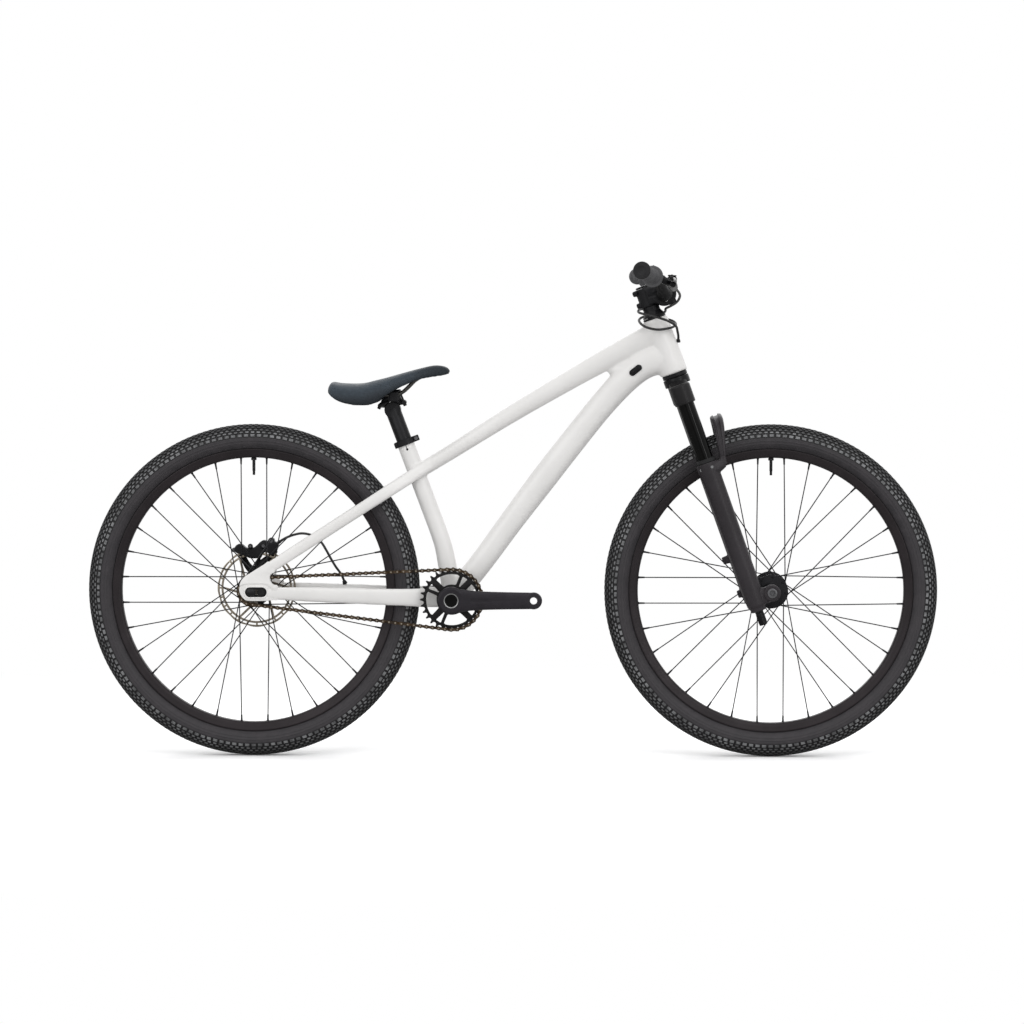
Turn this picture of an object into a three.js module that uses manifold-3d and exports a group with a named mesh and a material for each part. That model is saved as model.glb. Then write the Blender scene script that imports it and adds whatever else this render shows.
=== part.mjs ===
import * as THREE from 'three';
import { mergeVertices } from 'three/addons/utils/BufferGeometryUtils.js';
import Module from 'manifold-3d';

// A dirt jump bike, in millimetres. +X points forward, +Y to the rider's left, +Z up.
// The origin is on the ground, half way between the two wheels.

const wasm = await Module();
wasm.setup();

const DEG = Math.PI / 180;
const TURN = 2 * Math.PI;

// Clearances shared by the whole bike
const gap = 0.3;
const overrun = 40;

// Wheels
const wheelbase = 1044;
const tyre = {
  height: 51,
  width: 58,
  wall: 3,
  beadDepth: 5.5,
  beadWidth: 21,
  steps: 28,
  crownDeg: 17,
  wallDeg: 75,
  edgeDeg: 118,
};
const rim = { flangeRadius: 285, depth: 17, width: 30, baseWidth: 22, wall: 2.4 };
const spoke = { thickness: 2, perSide: 16, crossDeg: 67.5, rimOffset: 3 };
const valve = { radius: 3, length: 34, sides: 8 };
const hubSteps = 16;
const roundSteps = 16;
const frontHub = {
  width: 110,
  capRadius: 12.4,
  capLength: 15,
  shellRadius: 17,
  flangeRadius: 32,
  flangeWidth: 3.4,
  flangeOffset: 33,
  discFlangeRadius: 36,
  discFlangeWidth: 3,
  boreRadius: 10.3,
};
const rearHub = {
  width: 135,
  capRadius: 11,
  shellRadius: 19,
  flangeRadius: 32,
  flangeWidth: 3.4,
  leftOffset: 31,
  rightOffset: 27,
  driverRadius: 17.2,
  driverWall: 6,
  driverGap: 0.6,
  discSeatRadius: 22,
  boreRadius: 5.3,
};
const rotor = { radius: 80, bandWidth: 15, thickness: 1.9, offset: 52, hubRadius: 28, boreRadius: 22.3 };
const rotorArm = { width: 8, count: 6 };
const frontAxle = { radius: 10 };
const rearAxle = { radius: 5, headRadius: 8.5, headLength: 7, steps: 12 };

// Crank and chain
const bottomBracket = { height: 320, tyreGap: 66, shellRadius: 21, shellWidth: 68, boreRadius: 18.5 };
const cartridge = { lipRadius: 20.5, lipWidth: 4, boreRadius: 12.3 };
const spindle = { radius: 12, boreRadius: 8, halfLength: 83 };
const crank = {
  length: 165,
  outerFace: 84,
  innerFace: 66,
  hubRadius: 27.5,
  eyeRadius: 17,
  eyeThickness: 13,
  pedalHoleRadius: 7,
  waist: 33,
  taper: 6,
};
const chainPitch = 12.7;
const ringTeeth = 30;
const cogTeeth = 13;
const tooth = { height: 3.7, thickness: 2.4, rootWidth: 7.4, rootDrop: 3.4 };
const chainLine = 49;
const chainring = {
  rimWidth: 10,
  hubRadius: 30,
  bossRadius: 22,
  armSets: 4,
  wideArm: 11.5,
  wideArmDeg: 45,
  thinArm: 5,
  thinArmDeg: 68,
  armOverlap: 1.2,
};
const chain = {
  plateHeight: 8.4,
  plateThickness: 1.7,
  innerWidth: 3.2,
  roof: 1.1,
  roofGap: 0.9,
  ringSteps: 16,
  cogSteps: 8,
};

// Frame
const wall = 2;
const tubeSides = 10;
const staySides = 8;
const wireSides = 8;
const headAngle = 70.4;
const headTube = {
  length: 117,
  lowerRadius: 28,
  upperRadius: 25.5,
  boreRadius: 20.6,
};
const cup = { height: 8, lowerRadius: 25.5, upperRadius: 23.4, upperHeight: 4, boreRadius: 15.2, skirt: 14 };
const seatTube = {
  height: 640.5,
  tilt: 20.6,
  radius: 17.45,
  bendSetback: 17.193,
  bendRise: 105.2,
  lowWidth: 38,
};
const collar = { height: 12, wall: 3.4, lugLength: 9, lugWidth: 13, boltRadius: 2.6, slit: 1.8 };
const downTube = { headShare: 0.3, width: 48, height: 50 };
const topTube = { headShare: 0.76, seatDrop: 72, width: 36, height: 34, cutterSteps: 20 };
const chainstay = { height: 36, width: 14, wall: 1.6 };
const seatstay = { height: 25, width: 14, wall: 1.6 };
const dropout = {
  innerFace: 67.8,
  thickness: 8,
  windowLength: 44.6,
  windowHeight: 20.5,
  windowShift: 10,
  slotLength: 26,
  recess: 4.4,
  stayLength: 44,
  stayHeight: 28,
  rearReach: 24,
  lowReach: 17.5,
  upReach: 36,
};
const stayEnd = { x: dropout.stayLength, z: -2 };
const seatstayEnd = { x: 24, z: 52, lean: 31.8 };
const caliper = {
  length: 74,
  width: 24,
  height: 30,
  lean: 24,
  slot: 4.4,
  side: 55,
  back: 3,
  up: 79,
  footWidth: 7,
};
const portPlug = { length: 29, width: 13, thickness: 1.6, tilt: 38, setback: 78, lift: 6.5 };

// Fork, along and across the steering axis from the lower end of the head tube. Its length is the
// axle's distance below that end, and its rake the axle's distance in front of the axis.
const fork = {
  length: 478.14,
  rake: 37.06,
  legSpacing: 65,
  stanchionRadius: 17,
  stanchionWall: 2,
  stanchionOverlap: 139.6,
  clampRadius: 21.3,
  clampTop: 23,
  clampBottom: 64,
  crownThickness: 20,
  crownOuterShare: 0.8,
  crownInnerShare: 1 / 3,
  crownDepth: 36,
  steererRadius: 14.3,
  steererTop: 181,
  lowersLength: 297.7,
  sealHeight: 8,
  legRadius: 20.5,
  footDrop: 25.9,
  boreEnd: 32.1,
  footRadius: 14,
};
const arch = { rise: 68.4, forward: 49, thickness: 17, depth: 21, footDrop: 22.6, legForward: 33.5, sides: 8 };
const forkDropout = { radius: 17, outerFace: 81, web: 24 };
const discTab = { height: 9, length: 13, thickness: 12, boltSpacing: 74, reach: 28, hubGap: 0.9 };
const knob = { radius: 8.5, length: 20, sides: 12 };

// Stem, bar and controls, measured as the fork is
const headCover = { lowRadius: 22.7, topRadius: 17, coneHeight: 10, height: 22, boreRadius: 14.6 };
const stem = { reach: 34.2, barHeight: 157.7, clampHeight: 39, radius: 19.5, width: 46 };
const faceplate = { thickness: 9, width: 44 };
const topCap = { radius: 17, height: 4 };
const bar = { span: 770, clampRadius: 15.9, radius: 11.1, wall: 2, sides: 8 };
const barShape = { clampHalf: 36, straight: 189, rise: 31.5, sweepBack: 8, taperShare: 0.35 };
const barEnd = { back: 33.5, up: 55 };
const grip = { length: 135, radius: 15, flangeRadius: 21, flangeWidth: 4, endWidth: 4, steps: 14 };
const leverClamp = {
  gripGap: 28,
  width: 14,
  wall: 3.5,
  bodyRadius: 9,
  bodyLength: 62,
  bodySides: 12,
  portForward: 18.2,
  portLift: 4.3,
};
const leverBlade = {
  pivotForward: 26.4,
  pivotDrop: 19.2,
  length: 92,
  thickness: 9,
  tipThickness: 6,
  reach: 18,
};
const hose = { radius: 2.5, sides: 6, stepsPerPoint: 1 };

// Saddle and post
const post = { radius: 15.45, bore: 12.6, insertion: 110, headLift: 64, headRadius: 11, headWidth: 34 };
const saddle = {
  length: 244,
  width: 138,
  thickness: 38,
  setback: 6.37,
  lift: 43.6,
  topSides: 13,
  lowSides: 9,
  drawShare: 0.06,
  lowShare: 0.86,
  crownPower: 0.62,
};
const rail = { radius: 3.5, spacing: 44, noseSpacing: 26, bendShare: 0.72 };
const railClamp = { width: 58, length: 34, forward: 3.5 };

const steerTilt = (90 - headAngle) * DEG;
const seatTilt = seatTube.tilt * DEG;
const wheelRadius = rim.flangeRadius + tyre.height;
const rimInner = rim.flangeRadius - rim.depth;
const rearX = -wheelbase / 2;
const frontX = wheelbase / 2;
const crankX = rearX + wheelRadius + bottomBracket.tyreGap;
const crankHeight = bottomBracket.height;
const ringRadius = chainPitch / (2 * Math.sin(Math.PI / ringTeeth));
const cogRadius = chainPitch / (2 * Math.sin(Math.PI / cogTeeth));
const dropoutCentre = dropout.innerFace + dropout.thickness / 2;

// The lower end of the head tube and the top of the seat tube, where the two leaning axes start
const axlePlace = new THREE.Vector3(fork.rake, 0, -fork.length);
const steerTurn = new THREE.Matrix4().makeRotationY(-steerTilt);
const headEnd = new THREE.Vector3(frontX, 0, wheelRadius).sub(axlePlace.clone().applyMatrix4(steerTurn));
const seatStraight = (seatTube.height - crankHeight - seatTube.bendRise) / Math.cos(seatTilt);
const seatEndX = crankX - seatTube.bendSetback - seatStraight * Math.sin(seatTilt);
const seatEnd = new THREE.Vector3(seatEndX, 0, seatTube.height);

// Matrices from each leaning axis's own measure to the bike's
const steerMatrix = steerTurn.clone().setPosition(headEnd);
const seatMatrix = new THREE.Matrix4().makeRotationY(-seatTilt).setPosition(seatEnd);

// Heights along the steering axis that follow from the fork's length
const sealTop = fork.length - fork.lowersLength;
const legBottom = fork.length + fork.footDrop;
const legBoreBottom = fork.length - fork.boreEnd;
const archCrest = sealTop - arch.rise;
const archFoot = sealTop + arch.footDrop;
const stanchionDrop = sealTop + fork.stanchionOverlap;
const stemBottom = headTube.length + cup.upperHeight + headCover.height + 2 * gap;
const knobTop = -legBottom - gap;

// Where the bar turns straight, and where the grip and the lever's clamp sit on it
const barEndSide = bar.span / 2;
const barKneeSide = barEndSide - barShape.straight;
const gripStart = barEndSide - grip.length;
const leverSide = gripStart - leverClamp.gripGap;

function vec(x, y, z) {
  return new THREE.Vector3(x, y, z);
}

function steerPoint(forward, side, up) {
  return vec(forward, side, up).applyMatrix4(steerMatrix);
}

function seatPoint(forward, side, up) {
  return vec(forward, side, up).applyMatrix4(seatMatrix);
}

// Turns a list of corners and triangles into a closed body whose faces point outwards
function body(corners, faces) {
  let volume = 0;
  for (const [a, b, c] of faces) {
    volume += corners[a].dot(corners[b].clone().cross(corners[c]));
  }
  const order = volume < 0 ? ([a, b, c]) => [a, c, b] : (face) => face;
  const geometry = new THREE.BufferGeometry();
  geometry.setAttribute('position', new THREE.Float32BufferAttribute(corners.flatMap((p) => p.toArray()), 3));
  geometry.setIndex(faces.flatMap(order));
  return geometry;
}

// Joins the doubled corners of a three.js shape and drops its empty triangles
function weld(shape) {
  const bare = shape.clone();
  bare.deleteAttribute('normal');
  bare.deleteAttribute('uv');
  const merged = mergeVertices(bare);
  const place = merged.getAttribute('position');
  const corners = [];
  for (let i = 0; i < place.count; i += 1) {
    corners.push(new THREE.Vector3().fromBufferAttribute(place, i));
  }
  const faces = [];
  for (let i = 0; i < merged.index.count; i += 3) {
    const face = [merged.index.getX(i), merged.index.getX(i + 1), merged.index.getX(i + 2)];
    if (new Set(face).size === 3) {
      faces.push(face);
    }
  }
  return body(corners, faces);
}

function toSolid(geometry) {
  const place = geometry.getAttribute('position');
  return new wasm.Manifold(
    new wasm.Mesh({
      numProp: 3,
      vertProperties: new Float32Array(place.array),
      triVerts: new Uint32Array(geometry.index.array),
    }),
  );
}

function toGeometry(solid) {
  const mesh = solid.getMesh();
  const geometry = new THREE.BufferGeometry();
  geometry.setAttribute('position', new THREE.BufferAttribute(new Float32Array(mesh.vertProperties), 3));
  geometry.setIndex(Array.from(mesh.triVerts));
  return geometry;
}

function join(first, ...others) {
  return toGeometry(others.reduce((sum, other) => sum.add(toSolid(other)), toSolid(first)));
}

function cut(first, ...tools) {
  return toGeometry(tools.reduce((rest, tool) => rest.subtract(toSolid(tool)), toSolid(first)));
}

// Skins a row of rings, each with the same number of points. A loop has no ends, and a row has flat ones.
function skin(rings, loop) {
  const sides = rings[0].length;
  const corners = rings.flat();
  const faces = [];
  const bands = loop ? rings.length : rings.length - 1;
  for (let i = 0; i < bands; i += 1) {
    const here = i * sides;
    const next = ((i + 1) % rings.length) * sides;
    for (let j = 0; j < sides; j += 1) {
      const k = (j + 1) % sides;
      faces.push([here + j, next + j, next + k], [here + j, next + k, here + k]);
    }
  }
  if (!loop) {
    for (const [ring, turned] of [[0, true], [rings.length - 1, false]]) {
      const middle = corners.length;
      const sum = rings[ring].reduce((total, p) => total.add(p), new THREE.Vector3());
      corners.push(sum.divideScalar(sides));
      for (let j = 0; j < sides; j += 1) {
        const a = ring * sides + j;
        const b = ring * sides + ((j + 1) % sides);
        faces.push(turned ? [middle, a, b] : [middle, b, a]);
      }
    }
  }
  return body(corners, faces);
}

// One ring round each station of a path: an oval whose corners square off as its power grows
function ringsAlong(stations, sides, inset = 0) {
  return stations.map((station, i) => {
    const before = stations[Math.max(i - 1, 0)].at;
    const after = stations[Math.min(i + 1, stations.length - 1)].at;
    const along = (station.along ?? after.clone().sub(before)).clone().normalize();
    const across = (station.across ?? vec(0, 1, 0)).clone();
    across.addScaledVector(along, -across.dot(along)).normalize();
    const up = along.clone().cross(across);
    const power = station.power ?? 2;
    const ring = [];
    for (let j = 0; j < sides; j += 1) {
      const angle = (j / sides) * TURN;
      const c = Math.cos(angle);
      const s = Math.sin(angle);
      const reach = (Math.abs(c) ** power + Math.abs(s) ** power) ** (-1 / power);
      ring.push(
        station.at
          .clone()
          .addScaledVector(across, reach * c * (station.width / 2 - inset))
          .addScaledVector(up, reach * s * (station.height / 2 - inset)),
      );
    }
    return ring;
  });
}

function solidTube(stations, sides) {
  return skin(ringsAlong(stations, sides), false);
}

function hollowTube(stations, sides, thickness) {
  const inner = ringsAlong(stations, sides, thickness).reverse();
  return skin([...ringsAlong(stations, sides), ...inner], true);
}

// Turns a closed outline of [radius, place along the axis] round the Y axis
function turned(outline, steps) {
  const points = outline.map(([radius, along]) => new THREE.Vector2(radius, along));
  const first = points[0];
  const last = points[points.length - 1];
  if (first.x > 0 || last.x > 0) {
    points.push(first.clone());
  }
  return weld(new THREE.LatheGeometry(points, steps));
}

function turnedUp(outline, steps) {
  return turned(outline, steps).rotateX(Math.PI / 2);
}

// An upright rod and an upright sleeve
function uprightRod(radius, from, to, steps) {
  return turnedUp([[0, from], [radius, from], [radius, to], [0, to]], steps);
}

function sleeve(outer, inner, from, to, steps) {
  return turnedUp([[inner, from], [outer, from], [outer, to], [inner, to]], steps);
}

function pipe(outer, inner, from, to, steps) {
  return turned([[outer, from], [outer, to], [inner, to], [inner, from]], steps);
}

function rod(radius, from, to, steps) {
  return turned([[0, from], [radius, from], [radius, to], [0, to]], steps);
}

// Extrudes an outline drawn in X and Z through a thickness in Y, with its middle at the given Y
function slab(shape, thickness, middle, curveSegments = 3) {
  const extrusion = new THREE.ExtrudeGeometry(shape, { depth: thickness, bevelEnabled: false, curveSegments });
  return weld(extrusion.rotateX(Math.PI / 2).translate(0, middle + thickness / 2, 0));
}

function block(length, width, height, x, y, z) {
  return weld(new THREE.BoxGeometry(length, width, height).translate(x, y, z));
}

function outline(points) {
  return new THREE.Shape(points.map(([x, z]) => new THREE.Vector2(x, z)));
}

// A slot with round ends, as an outline
function stadium(length, height, x, z) {
  const radius = height / 2;
  const shape = new THREE.Shape();
  shape.absarc(x + length / 2 - radius, z, radius, -Math.PI / 2, Math.PI / 2);
  shape.absarc(x - length / 2 + radius, z, radius, Math.PI / 2, (3 * Math.PI) / 2);
  return shape;
}

// Finishes, each with its colour, roughness and metalness
const looks = {
  frame: [0xeeeeea, 0.35, 0],
  rubber: [0x3a3836, 0.85, 0],
  satinBlack: [0x2c292b, 0.45, 0.2],
  glossBlack: [0x141315, 0.12, 0.1],
  forkBlack: [0x343234, 0.4, 0.1],
  steel: [0x968c80, 0.35, 0.9],
  silver: [0xb8b8b8, 0.3, 1],
  chainSteel: [0x6e5f45, 0.4, 0.9],
  crankGrey: [0x38363a, 0.45, 0.5],
  saddle: [0x46505a, 0.6, 0],
  gripRubber: [0x3c3c3c, 0.8, 0],
  hose: [0x1c1c1c, 0.45, 0],
};

function piece(parent, name, geometry, look) {
  const [color, roughness, metalness] = looks[look];
  const mesh = new THREE.Mesh(geometry, new THREE.MeshStandardMaterial({ color, roughness, metalness }));
  mesh.name = name;
  parent.add(mesh);
}

function groupAt(x, y, z) {
  const group = new THREE.Group();
  group.position.set(x, y, z);
  return group;
}

const bike = new THREE.Group();
const frame = new THREE.Group();
const steering = groupAt(headEnd.x, headEnd.y, headEnd.z);
steering.rotation.y = -steerTilt;
const seat = groupAt(seatEnd.x, seatEnd.y, seatEnd.z);
seat.rotation.y = -seatTilt;
const drive = groupAt(crankX, 0, crankHeight);
bike.add(frame, steering, seat, drive);

// A wheel's tyre: a casing open towards the rim, whose walls narrow to a bead on each side
function tyreBody() {
  const half = tyre.width / 2;
  const middle = wheelRadius - half;
  const rise = half / Math.cos(tyre.crownDeg * DEG);
  const outerAngles = [-tyre.edgeDeg, -tyre.wallDeg, -tyre.crownDeg, tyre.crownDeg, tyre.wallDeg, tyre.edgeDeg];
  const innerAngles = [tyre.edgeDeg, tyre.wallDeg, 0, -tyre.wallDeg, -tyre.edgeDeg];
  const arc = (degrees, inset) =>
    degrees.map((deg) => [middle + (rise - inset) * Math.cos(deg * DEG), (half - inset) * Math.sin(deg * DEG)]);
  const beadHalf = tyre.beadWidth / 2;
  const bead = (side) => [rim.flangeRadius - tyre.beadDepth, side * beadHalf];
  const neck = (side, inset) => [rim.flangeRadius + gap + inset, side * (beadHalf + gap - inset)];
  const outside = [bead(-1), neck(-1, 0), ...arc(outerAngles, 0), neck(1, 0), bead(1)];
  const inside = [neck(1, tyre.wall), ...arc(innerAngles, tyre.wall), neck(-1, tyre.wall)];
  return turned([...outside, ...inside], tyre.steps);
}

// A wheel's rim: a channel open towards the tyre
function rimBody() {
  const half = rim.width / 2;
  const baseHalf = rim.baseWidth / 2;
  return turned(
    [
      [rim.flangeRadius, -half],
      [rimInner, -baseHalf],
      [rimInner, baseHalf],
      [rim.flangeRadius, half],
      [rim.flangeRadius, half - rim.wall],
      [rimInner + rim.wall, baseHalf - rim.wall],
      [rimInner + rim.wall, rim.wall - baseHalf],
      [rim.flangeRadius, rim.wall - half],
    ],
    tyre.steps,
  );
}

// Half a wheel's spokes. Every second one leads and the rest trail, so each crosses three others.
// The bars are joined flat, then each point moves sideways so that every bar runs straight to the rim.
function spokeSet(flangeRadius, flangeSide, phase) {
  const hubRadius = flangeRadius + spoke.thickness / 2 + gap;
  const rimRadius = rimInner * Math.cos(Math.PI / tyre.steps) - gap;
  const cross = spoke.crossDeg * DEG;
  const polar = (radius, angle) => new THREE.Vector2(radius * Math.sin(angle), radius * Math.cos(angle));
  const step = TURN / spoke.perSide;
  const bars = [];
  for (let i = 0; i < spoke.perSide; i += 1) {
    const rimAngle = (i + phase) * step;
    const from = polar(hubRadius, rimAngle + (i % 2 === 0 ? cross : -cross));
    const to = polar(rimRadius, rimAngle);
    const half = to.clone().sub(from).normalize().multiplyScalar(spoke.thickness / 2);
    const aside = new THREE.Vector2(-half.y, half.x);
    const corners = [
      from.clone().add(aside),
      to.clone().add(aside),
      to.clone().sub(aside),
      from.clone().sub(aside),
    ];
    bars.push(slab(new THREE.Shape(corners), spoke.thickness, 0));
  }
  const net = join(...bars);
  const chord = rimRadius ** 2 + hubRadius ** 2 - 2 * rimRadius * hubRadius * Math.cos(cross);
  const lean = (rimRadius * hubRadius * Math.cos(cross) - hubRadius ** 2) / chord;
  const rimSide = Math.sign(flangeSide) * spoke.rimOffset;
  const place = net.getAttribute('position');
  for (let i = 0; i < place.count; i += 1) {
    const reach = place.getX(i) ** 2 + place.getZ(i) ** 2;
    const root = lean ** 2 + (reach - hubRadius ** 2) / chord;
    const share = Math.min(Math.sqrt(Math.max(root, 0)) - lean, 1);
    place.setY(i, place.getY(i) + flangeSide + (rimSide - flangeSide) * share);
  }
  return net;
}

function valveBody() {
  const from = rimInner - gap - valve.radius * Math.tan(Math.PI / tyre.steps);
  return uprightRod(valve.radius, from - valve.length, from, valve.sides);
}

function frontHubBody() {
  const h = frontHub;
  const end = h.width / 2 - gap;
  const shoulder = h.width / 2 - h.capLength;
  const flangeIn = h.flangeOffset - h.flangeWidth;
  return turned(
    [
      [h.boreRadius, -end],
      [h.capRadius, -end],
      [h.capRadius, -shoulder],
      [h.shellRadius, -shoulder],
      [h.flangeRadius, -h.flangeOffset],
      [h.flangeRadius, -flangeIn],
      [h.shellRadius, -flangeIn],
      [h.shellRadius, flangeIn],
      [h.flangeRadius, flangeIn],
      [h.flangeRadius, h.flangeOffset],
      [h.shellRadius, h.flangeOffset],
      [h.shellRadius, shoulder - h.discFlangeWidth],
      [h.discFlangeRadius, shoulder - h.discFlangeWidth],
      [h.discFlangeRadius, shoulder],
      [h.capRadius, shoulder],
      [h.capRadius, end],
      [h.boreRadius, end],
    ],
    hubSteps,
  );
}

function rearHubBody() {
  const h = rearHub;
  const end = h.width / 2 - gap;
  const rightFace = h.rightOffset + h.flangeWidth;
  const discEnd = rotor.offset + rotor.thickness / 2 + gap;
  return turned(
    [
      [h.boreRadius, -rightFace],
      [h.driverRadius, -rightFace],
      [h.flangeRadius, -h.rightOffset],
      [h.flangeRadius, h.flangeWidth - h.rightOffset],
      [h.shellRadius, h.flangeWidth - h.rightOffset],
      [h.shellRadius, h.leftOffset - h.flangeWidth],
      [h.flangeRadius, h.leftOffset - h.flangeWidth],
      [h.flangeRadius, h.leftOffset],
      [h.discSeatRadius, h.leftOffset + h.flangeWidth],
      [h.discSeatRadius, discEnd],
      [h.capRadius, discEnd],
      [h.capRadius, end],
      [h.boreRadius, end],
    ],
    hubSteps,
  );
}

function rotorBody() {
  const inner = rotor.radius - rotor.bandWidth;
  const from = rotor.offset - rotor.thickness / 2;
  const to = rotor.offset + rotor.thickness / 2;
  const band = pipe(rotor.radius, inner, from, to, tyre.steps);
  const carrier = pipe(rotor.hubRadius, rotor.boreRadius, from, to, hubSteps);
  const reach = inner - rotor.hubRadius + rotorArm.width;
  const middle = rotor.hubRadius + reach / 2 - rotorArm.width / 2;
  const arms = [];
  for (let i = 0; i < rotorArm.count; i += 1) {
    const arm = block(reach, rotor.thickness, rotorArm.width, middle, rotor.offset, 0);
    arms.push(arm.rotateY((i / rotorArm.count) * TURN));
  }
  return join(band, carrier, ...arms);
}

function wheelGroup(name, x, hubGeometry, spokeRadius, rightSide, leftSide) {
  const wheel = groupAt(x, 0, wheelRadius);
  bike.add(wheel);
  piece(wheel, `${name}_tyre`, tyreBody(), 'rubber');
  piece(wheel, `${name}_rim`, rimBody(), 'satinBlack');
  piece(wheel, `${name}_spokes_right`, spokeSet(spokeRadius, -rightSide, 1 / 4), 'glossBlack');
  piece(wheel, `${name}_spokes_left`, spokeSet(spokeRadius, leftSide, 3 / 4), 'glossBlack');
  piece(wheel, `${name}_hub`, hubGeometry, 'satinBlack');
  piece(wheel, `${name}_valve`, valveBody(), 'glossBlack');
  return wheel;
}

// A toothed disc's outline: each tooth rises from its root to a pointed tip
function toothedOutline(teeth, radius) {
  const points = [];
  for (let i = 0; i < teeth; i += 1) {
    const middle = (i / teeth) * TURN;
    const root = radius - tooth.rootDrop;
    const tip = radius + tooth.height;
    const half = tooth.rootWidth / 2 / root;
    for (const [reach, angle] of [[root, middle - half], [tip, middle], [root, middle + half]]) {
      points.push([reach * Math.cos(angle), reach * Math.sin(angle)]);
    }
  }
  return outline(points);
}

function circleHole(radius, x = 0, z = 0) {
  const hole = new THREE.Path();
  hole.absarc(x, z, radius, 0, TURN);
  return hole;
}

// Teeth and arms stand at the same angles on both sides of the plate
function chainringBody() {
  const rimShape = toothedOutline(ringTeeth, ringRadius);
  const plateInner = ringRadius - chainring.rimWidth;
  rimShape.holes.push(circleHole(plateInner));
  const plate = slab(rimShape, tooth.thickness, 0, roundSteps / 2);
  const bossLength = crank.innerFace - gap - chainLine + tooth.thickness / 2;
  const bore = spindle.radius + gap;
  const face = tooth.thickness / 2;
  const boss = pipe(chainring.bossRadius, bore, face - bossLength, face, hubSteps);
  const disc = pipe(chainring.hubRadius, bore, -face, face, hubSteps);
  const reach = plateInner - chainring.hubRadius;
  const middle = chainring.hubRadius + reach / 2;
  const kinds = [[chainring.wideArm, chainring.wideArmDeg], [chainring.thinArm, chainring.thinArmDeg]];
  const arms = [];
  for (let i = 0; i < chainring.armSets; i += 1) {
    for (const [width, startDeg] of kinds) {
      const arm = block(reach + chainring.armOverlap, tooth.thickness, width, middle, 0, 0);
      arms.push(arm.rotateY(-startDeg * DEG - (i / chainring.armSets) * TURN));
    }
  }
  return join(plate, boss, disc, ...arms).translate(0, -chainLine, 0);
}

// The sprocket with the driver that it turns with, on the axle beside the hub's shell
function cogBody() {
  const h = rearHub;
  const end = h.width / 2 - gap;
  const shellSide = h.rightOffset + h.flangeWidth + h.driverGap;
  const shape = toothedOutline(cogTeeth, cogRadius);
  shape.holes.push(circleHole(h.boreRadius + h.driverWall));
  const disc = slab(shape, tooth.thickness, -chainLine, roundSteps / 2);
  const driver = turned(
    [
      [h.boreRadius, -end],
      [h.capRadius, -end],
      [h.driverRadius, h.capRadius / 2 - end],
      [h.driverRadius, -shellSide],
      [h.boreRadius, -shellSide],
    ],
    hubSteps,
  );
  return join(disc, driver);
}

// The chain as one closed loop, with plates beside the teeth and a roof over their tips
function chainBody() {
  const ringAt = vec(crankX, -chainLine, crankHeight);
  const cogAt = vec(rearX, -chainLine, wheelRadius);
  const between = cogAt.clone().sub(ringAt);
  const heading = Math.atan2(between.z, between.x);
  const lean = Math.acos((ringRadius - cogRadius) / between.length());
  const path = [];
  const arcAt = (centre, radius, from, to, steps) => {
    for (let i = 0; i <= steps; i += 1) {
      const angle = from + ((to - from) * i) / steps;
      path.push({ centre, radius, out: vec(Math.cos(angle), 0, Math.sin(angle)) });
    }
  };
  arcAt(ringAt, ringRadius, heading + lean - TURN, heading - lean, chain.ringSteps);
  arcAt(cogAt, cogRadius, heading - lean, heading + lean, chain.cogSteps);
  const low = -chain.plateHeight / 2;
  const roofLow = tooth.height + chain.roofGap;
  const roofTop = roofLow + chain.roof;
  const inner = chain.innerWidth / 2;
  const outer = inner + chain.plateThickness;
  const section = [
    [low, outer],
    [roofTop, outer],
    [roofTop, -outer],
    [low, -outer],
    [low, -inner],
    [roofLow, -inner],
    [roofLow, inner],
    [low, inner],
  ];
  const rings = path.map(({ centre, radius, out }) =>
    section.map(([lift, side]) => centre.clone().addScaledVector(out, radius + lift).add(vec(0, side, 0))),
  );
  return skin(rings, true);
}

// A crank arm, drawn pointing forward on the right side
function crankArm() {
  const c = crank;
  const hubThickness = c.outerFace - c.innerFace;
  const hubMiddle = c.innerFace + hubThickness / 2;
  const eyeMiddle = c.outerFace - c.eyeThickness / 2;
  const armShares = [0, 1];
  const stations = armShares.map((share) => ({
    at: vec(c.length * share, -(hubMiddle + (eyeMiddle - hubMiddle) * share), 0),
    along: vec(1, 0, 0),
    width: hubThickness + (c.eyeThickness - hubThickness) * share,
    height: c.waist + (1 - share) * c.taper,
    power: 5,
  }));
  const hub = rod(c.hubRadius, -c.outerFace, -c.innerFace, hubSteps);
  const past = -c.outerFace - overrun;
  const eye = rod(c.eyeRadius, -c.outerFace, c.eyeThickness - c.outerFace, hubSteps).translate(c.length, 0, 0);
  const spindleHole = rod(spindle.radius + gap, past, overrun, hubSteps);
  const pedalHole = rod(c.pedalHoleRadius, past, overrun, hubSteps).translate(c.length, 0, 0);
  return cut(join(solidTube(stations, wireSides), hub, eye), spindleHole, pedalHole);
}

// Frame tubes follow stations given as shares: along the line, bow to its upper side, height and width
function frameStations(from, to, shares, tube) {
  const line = to.clone().sub(from);
  const length = line.length();
  const upper = line.clone().normalize().cross(vec(0, 1, 0));
  return shares.map(([along, bow, height, width]) => ({
    at: from.clone().addScaledVector(line, along).addScaledVector(upper, bow * length),
    height: height * tube.height,
    width: width * tube.width,
    power: 2.3,
  }));
}

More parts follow.
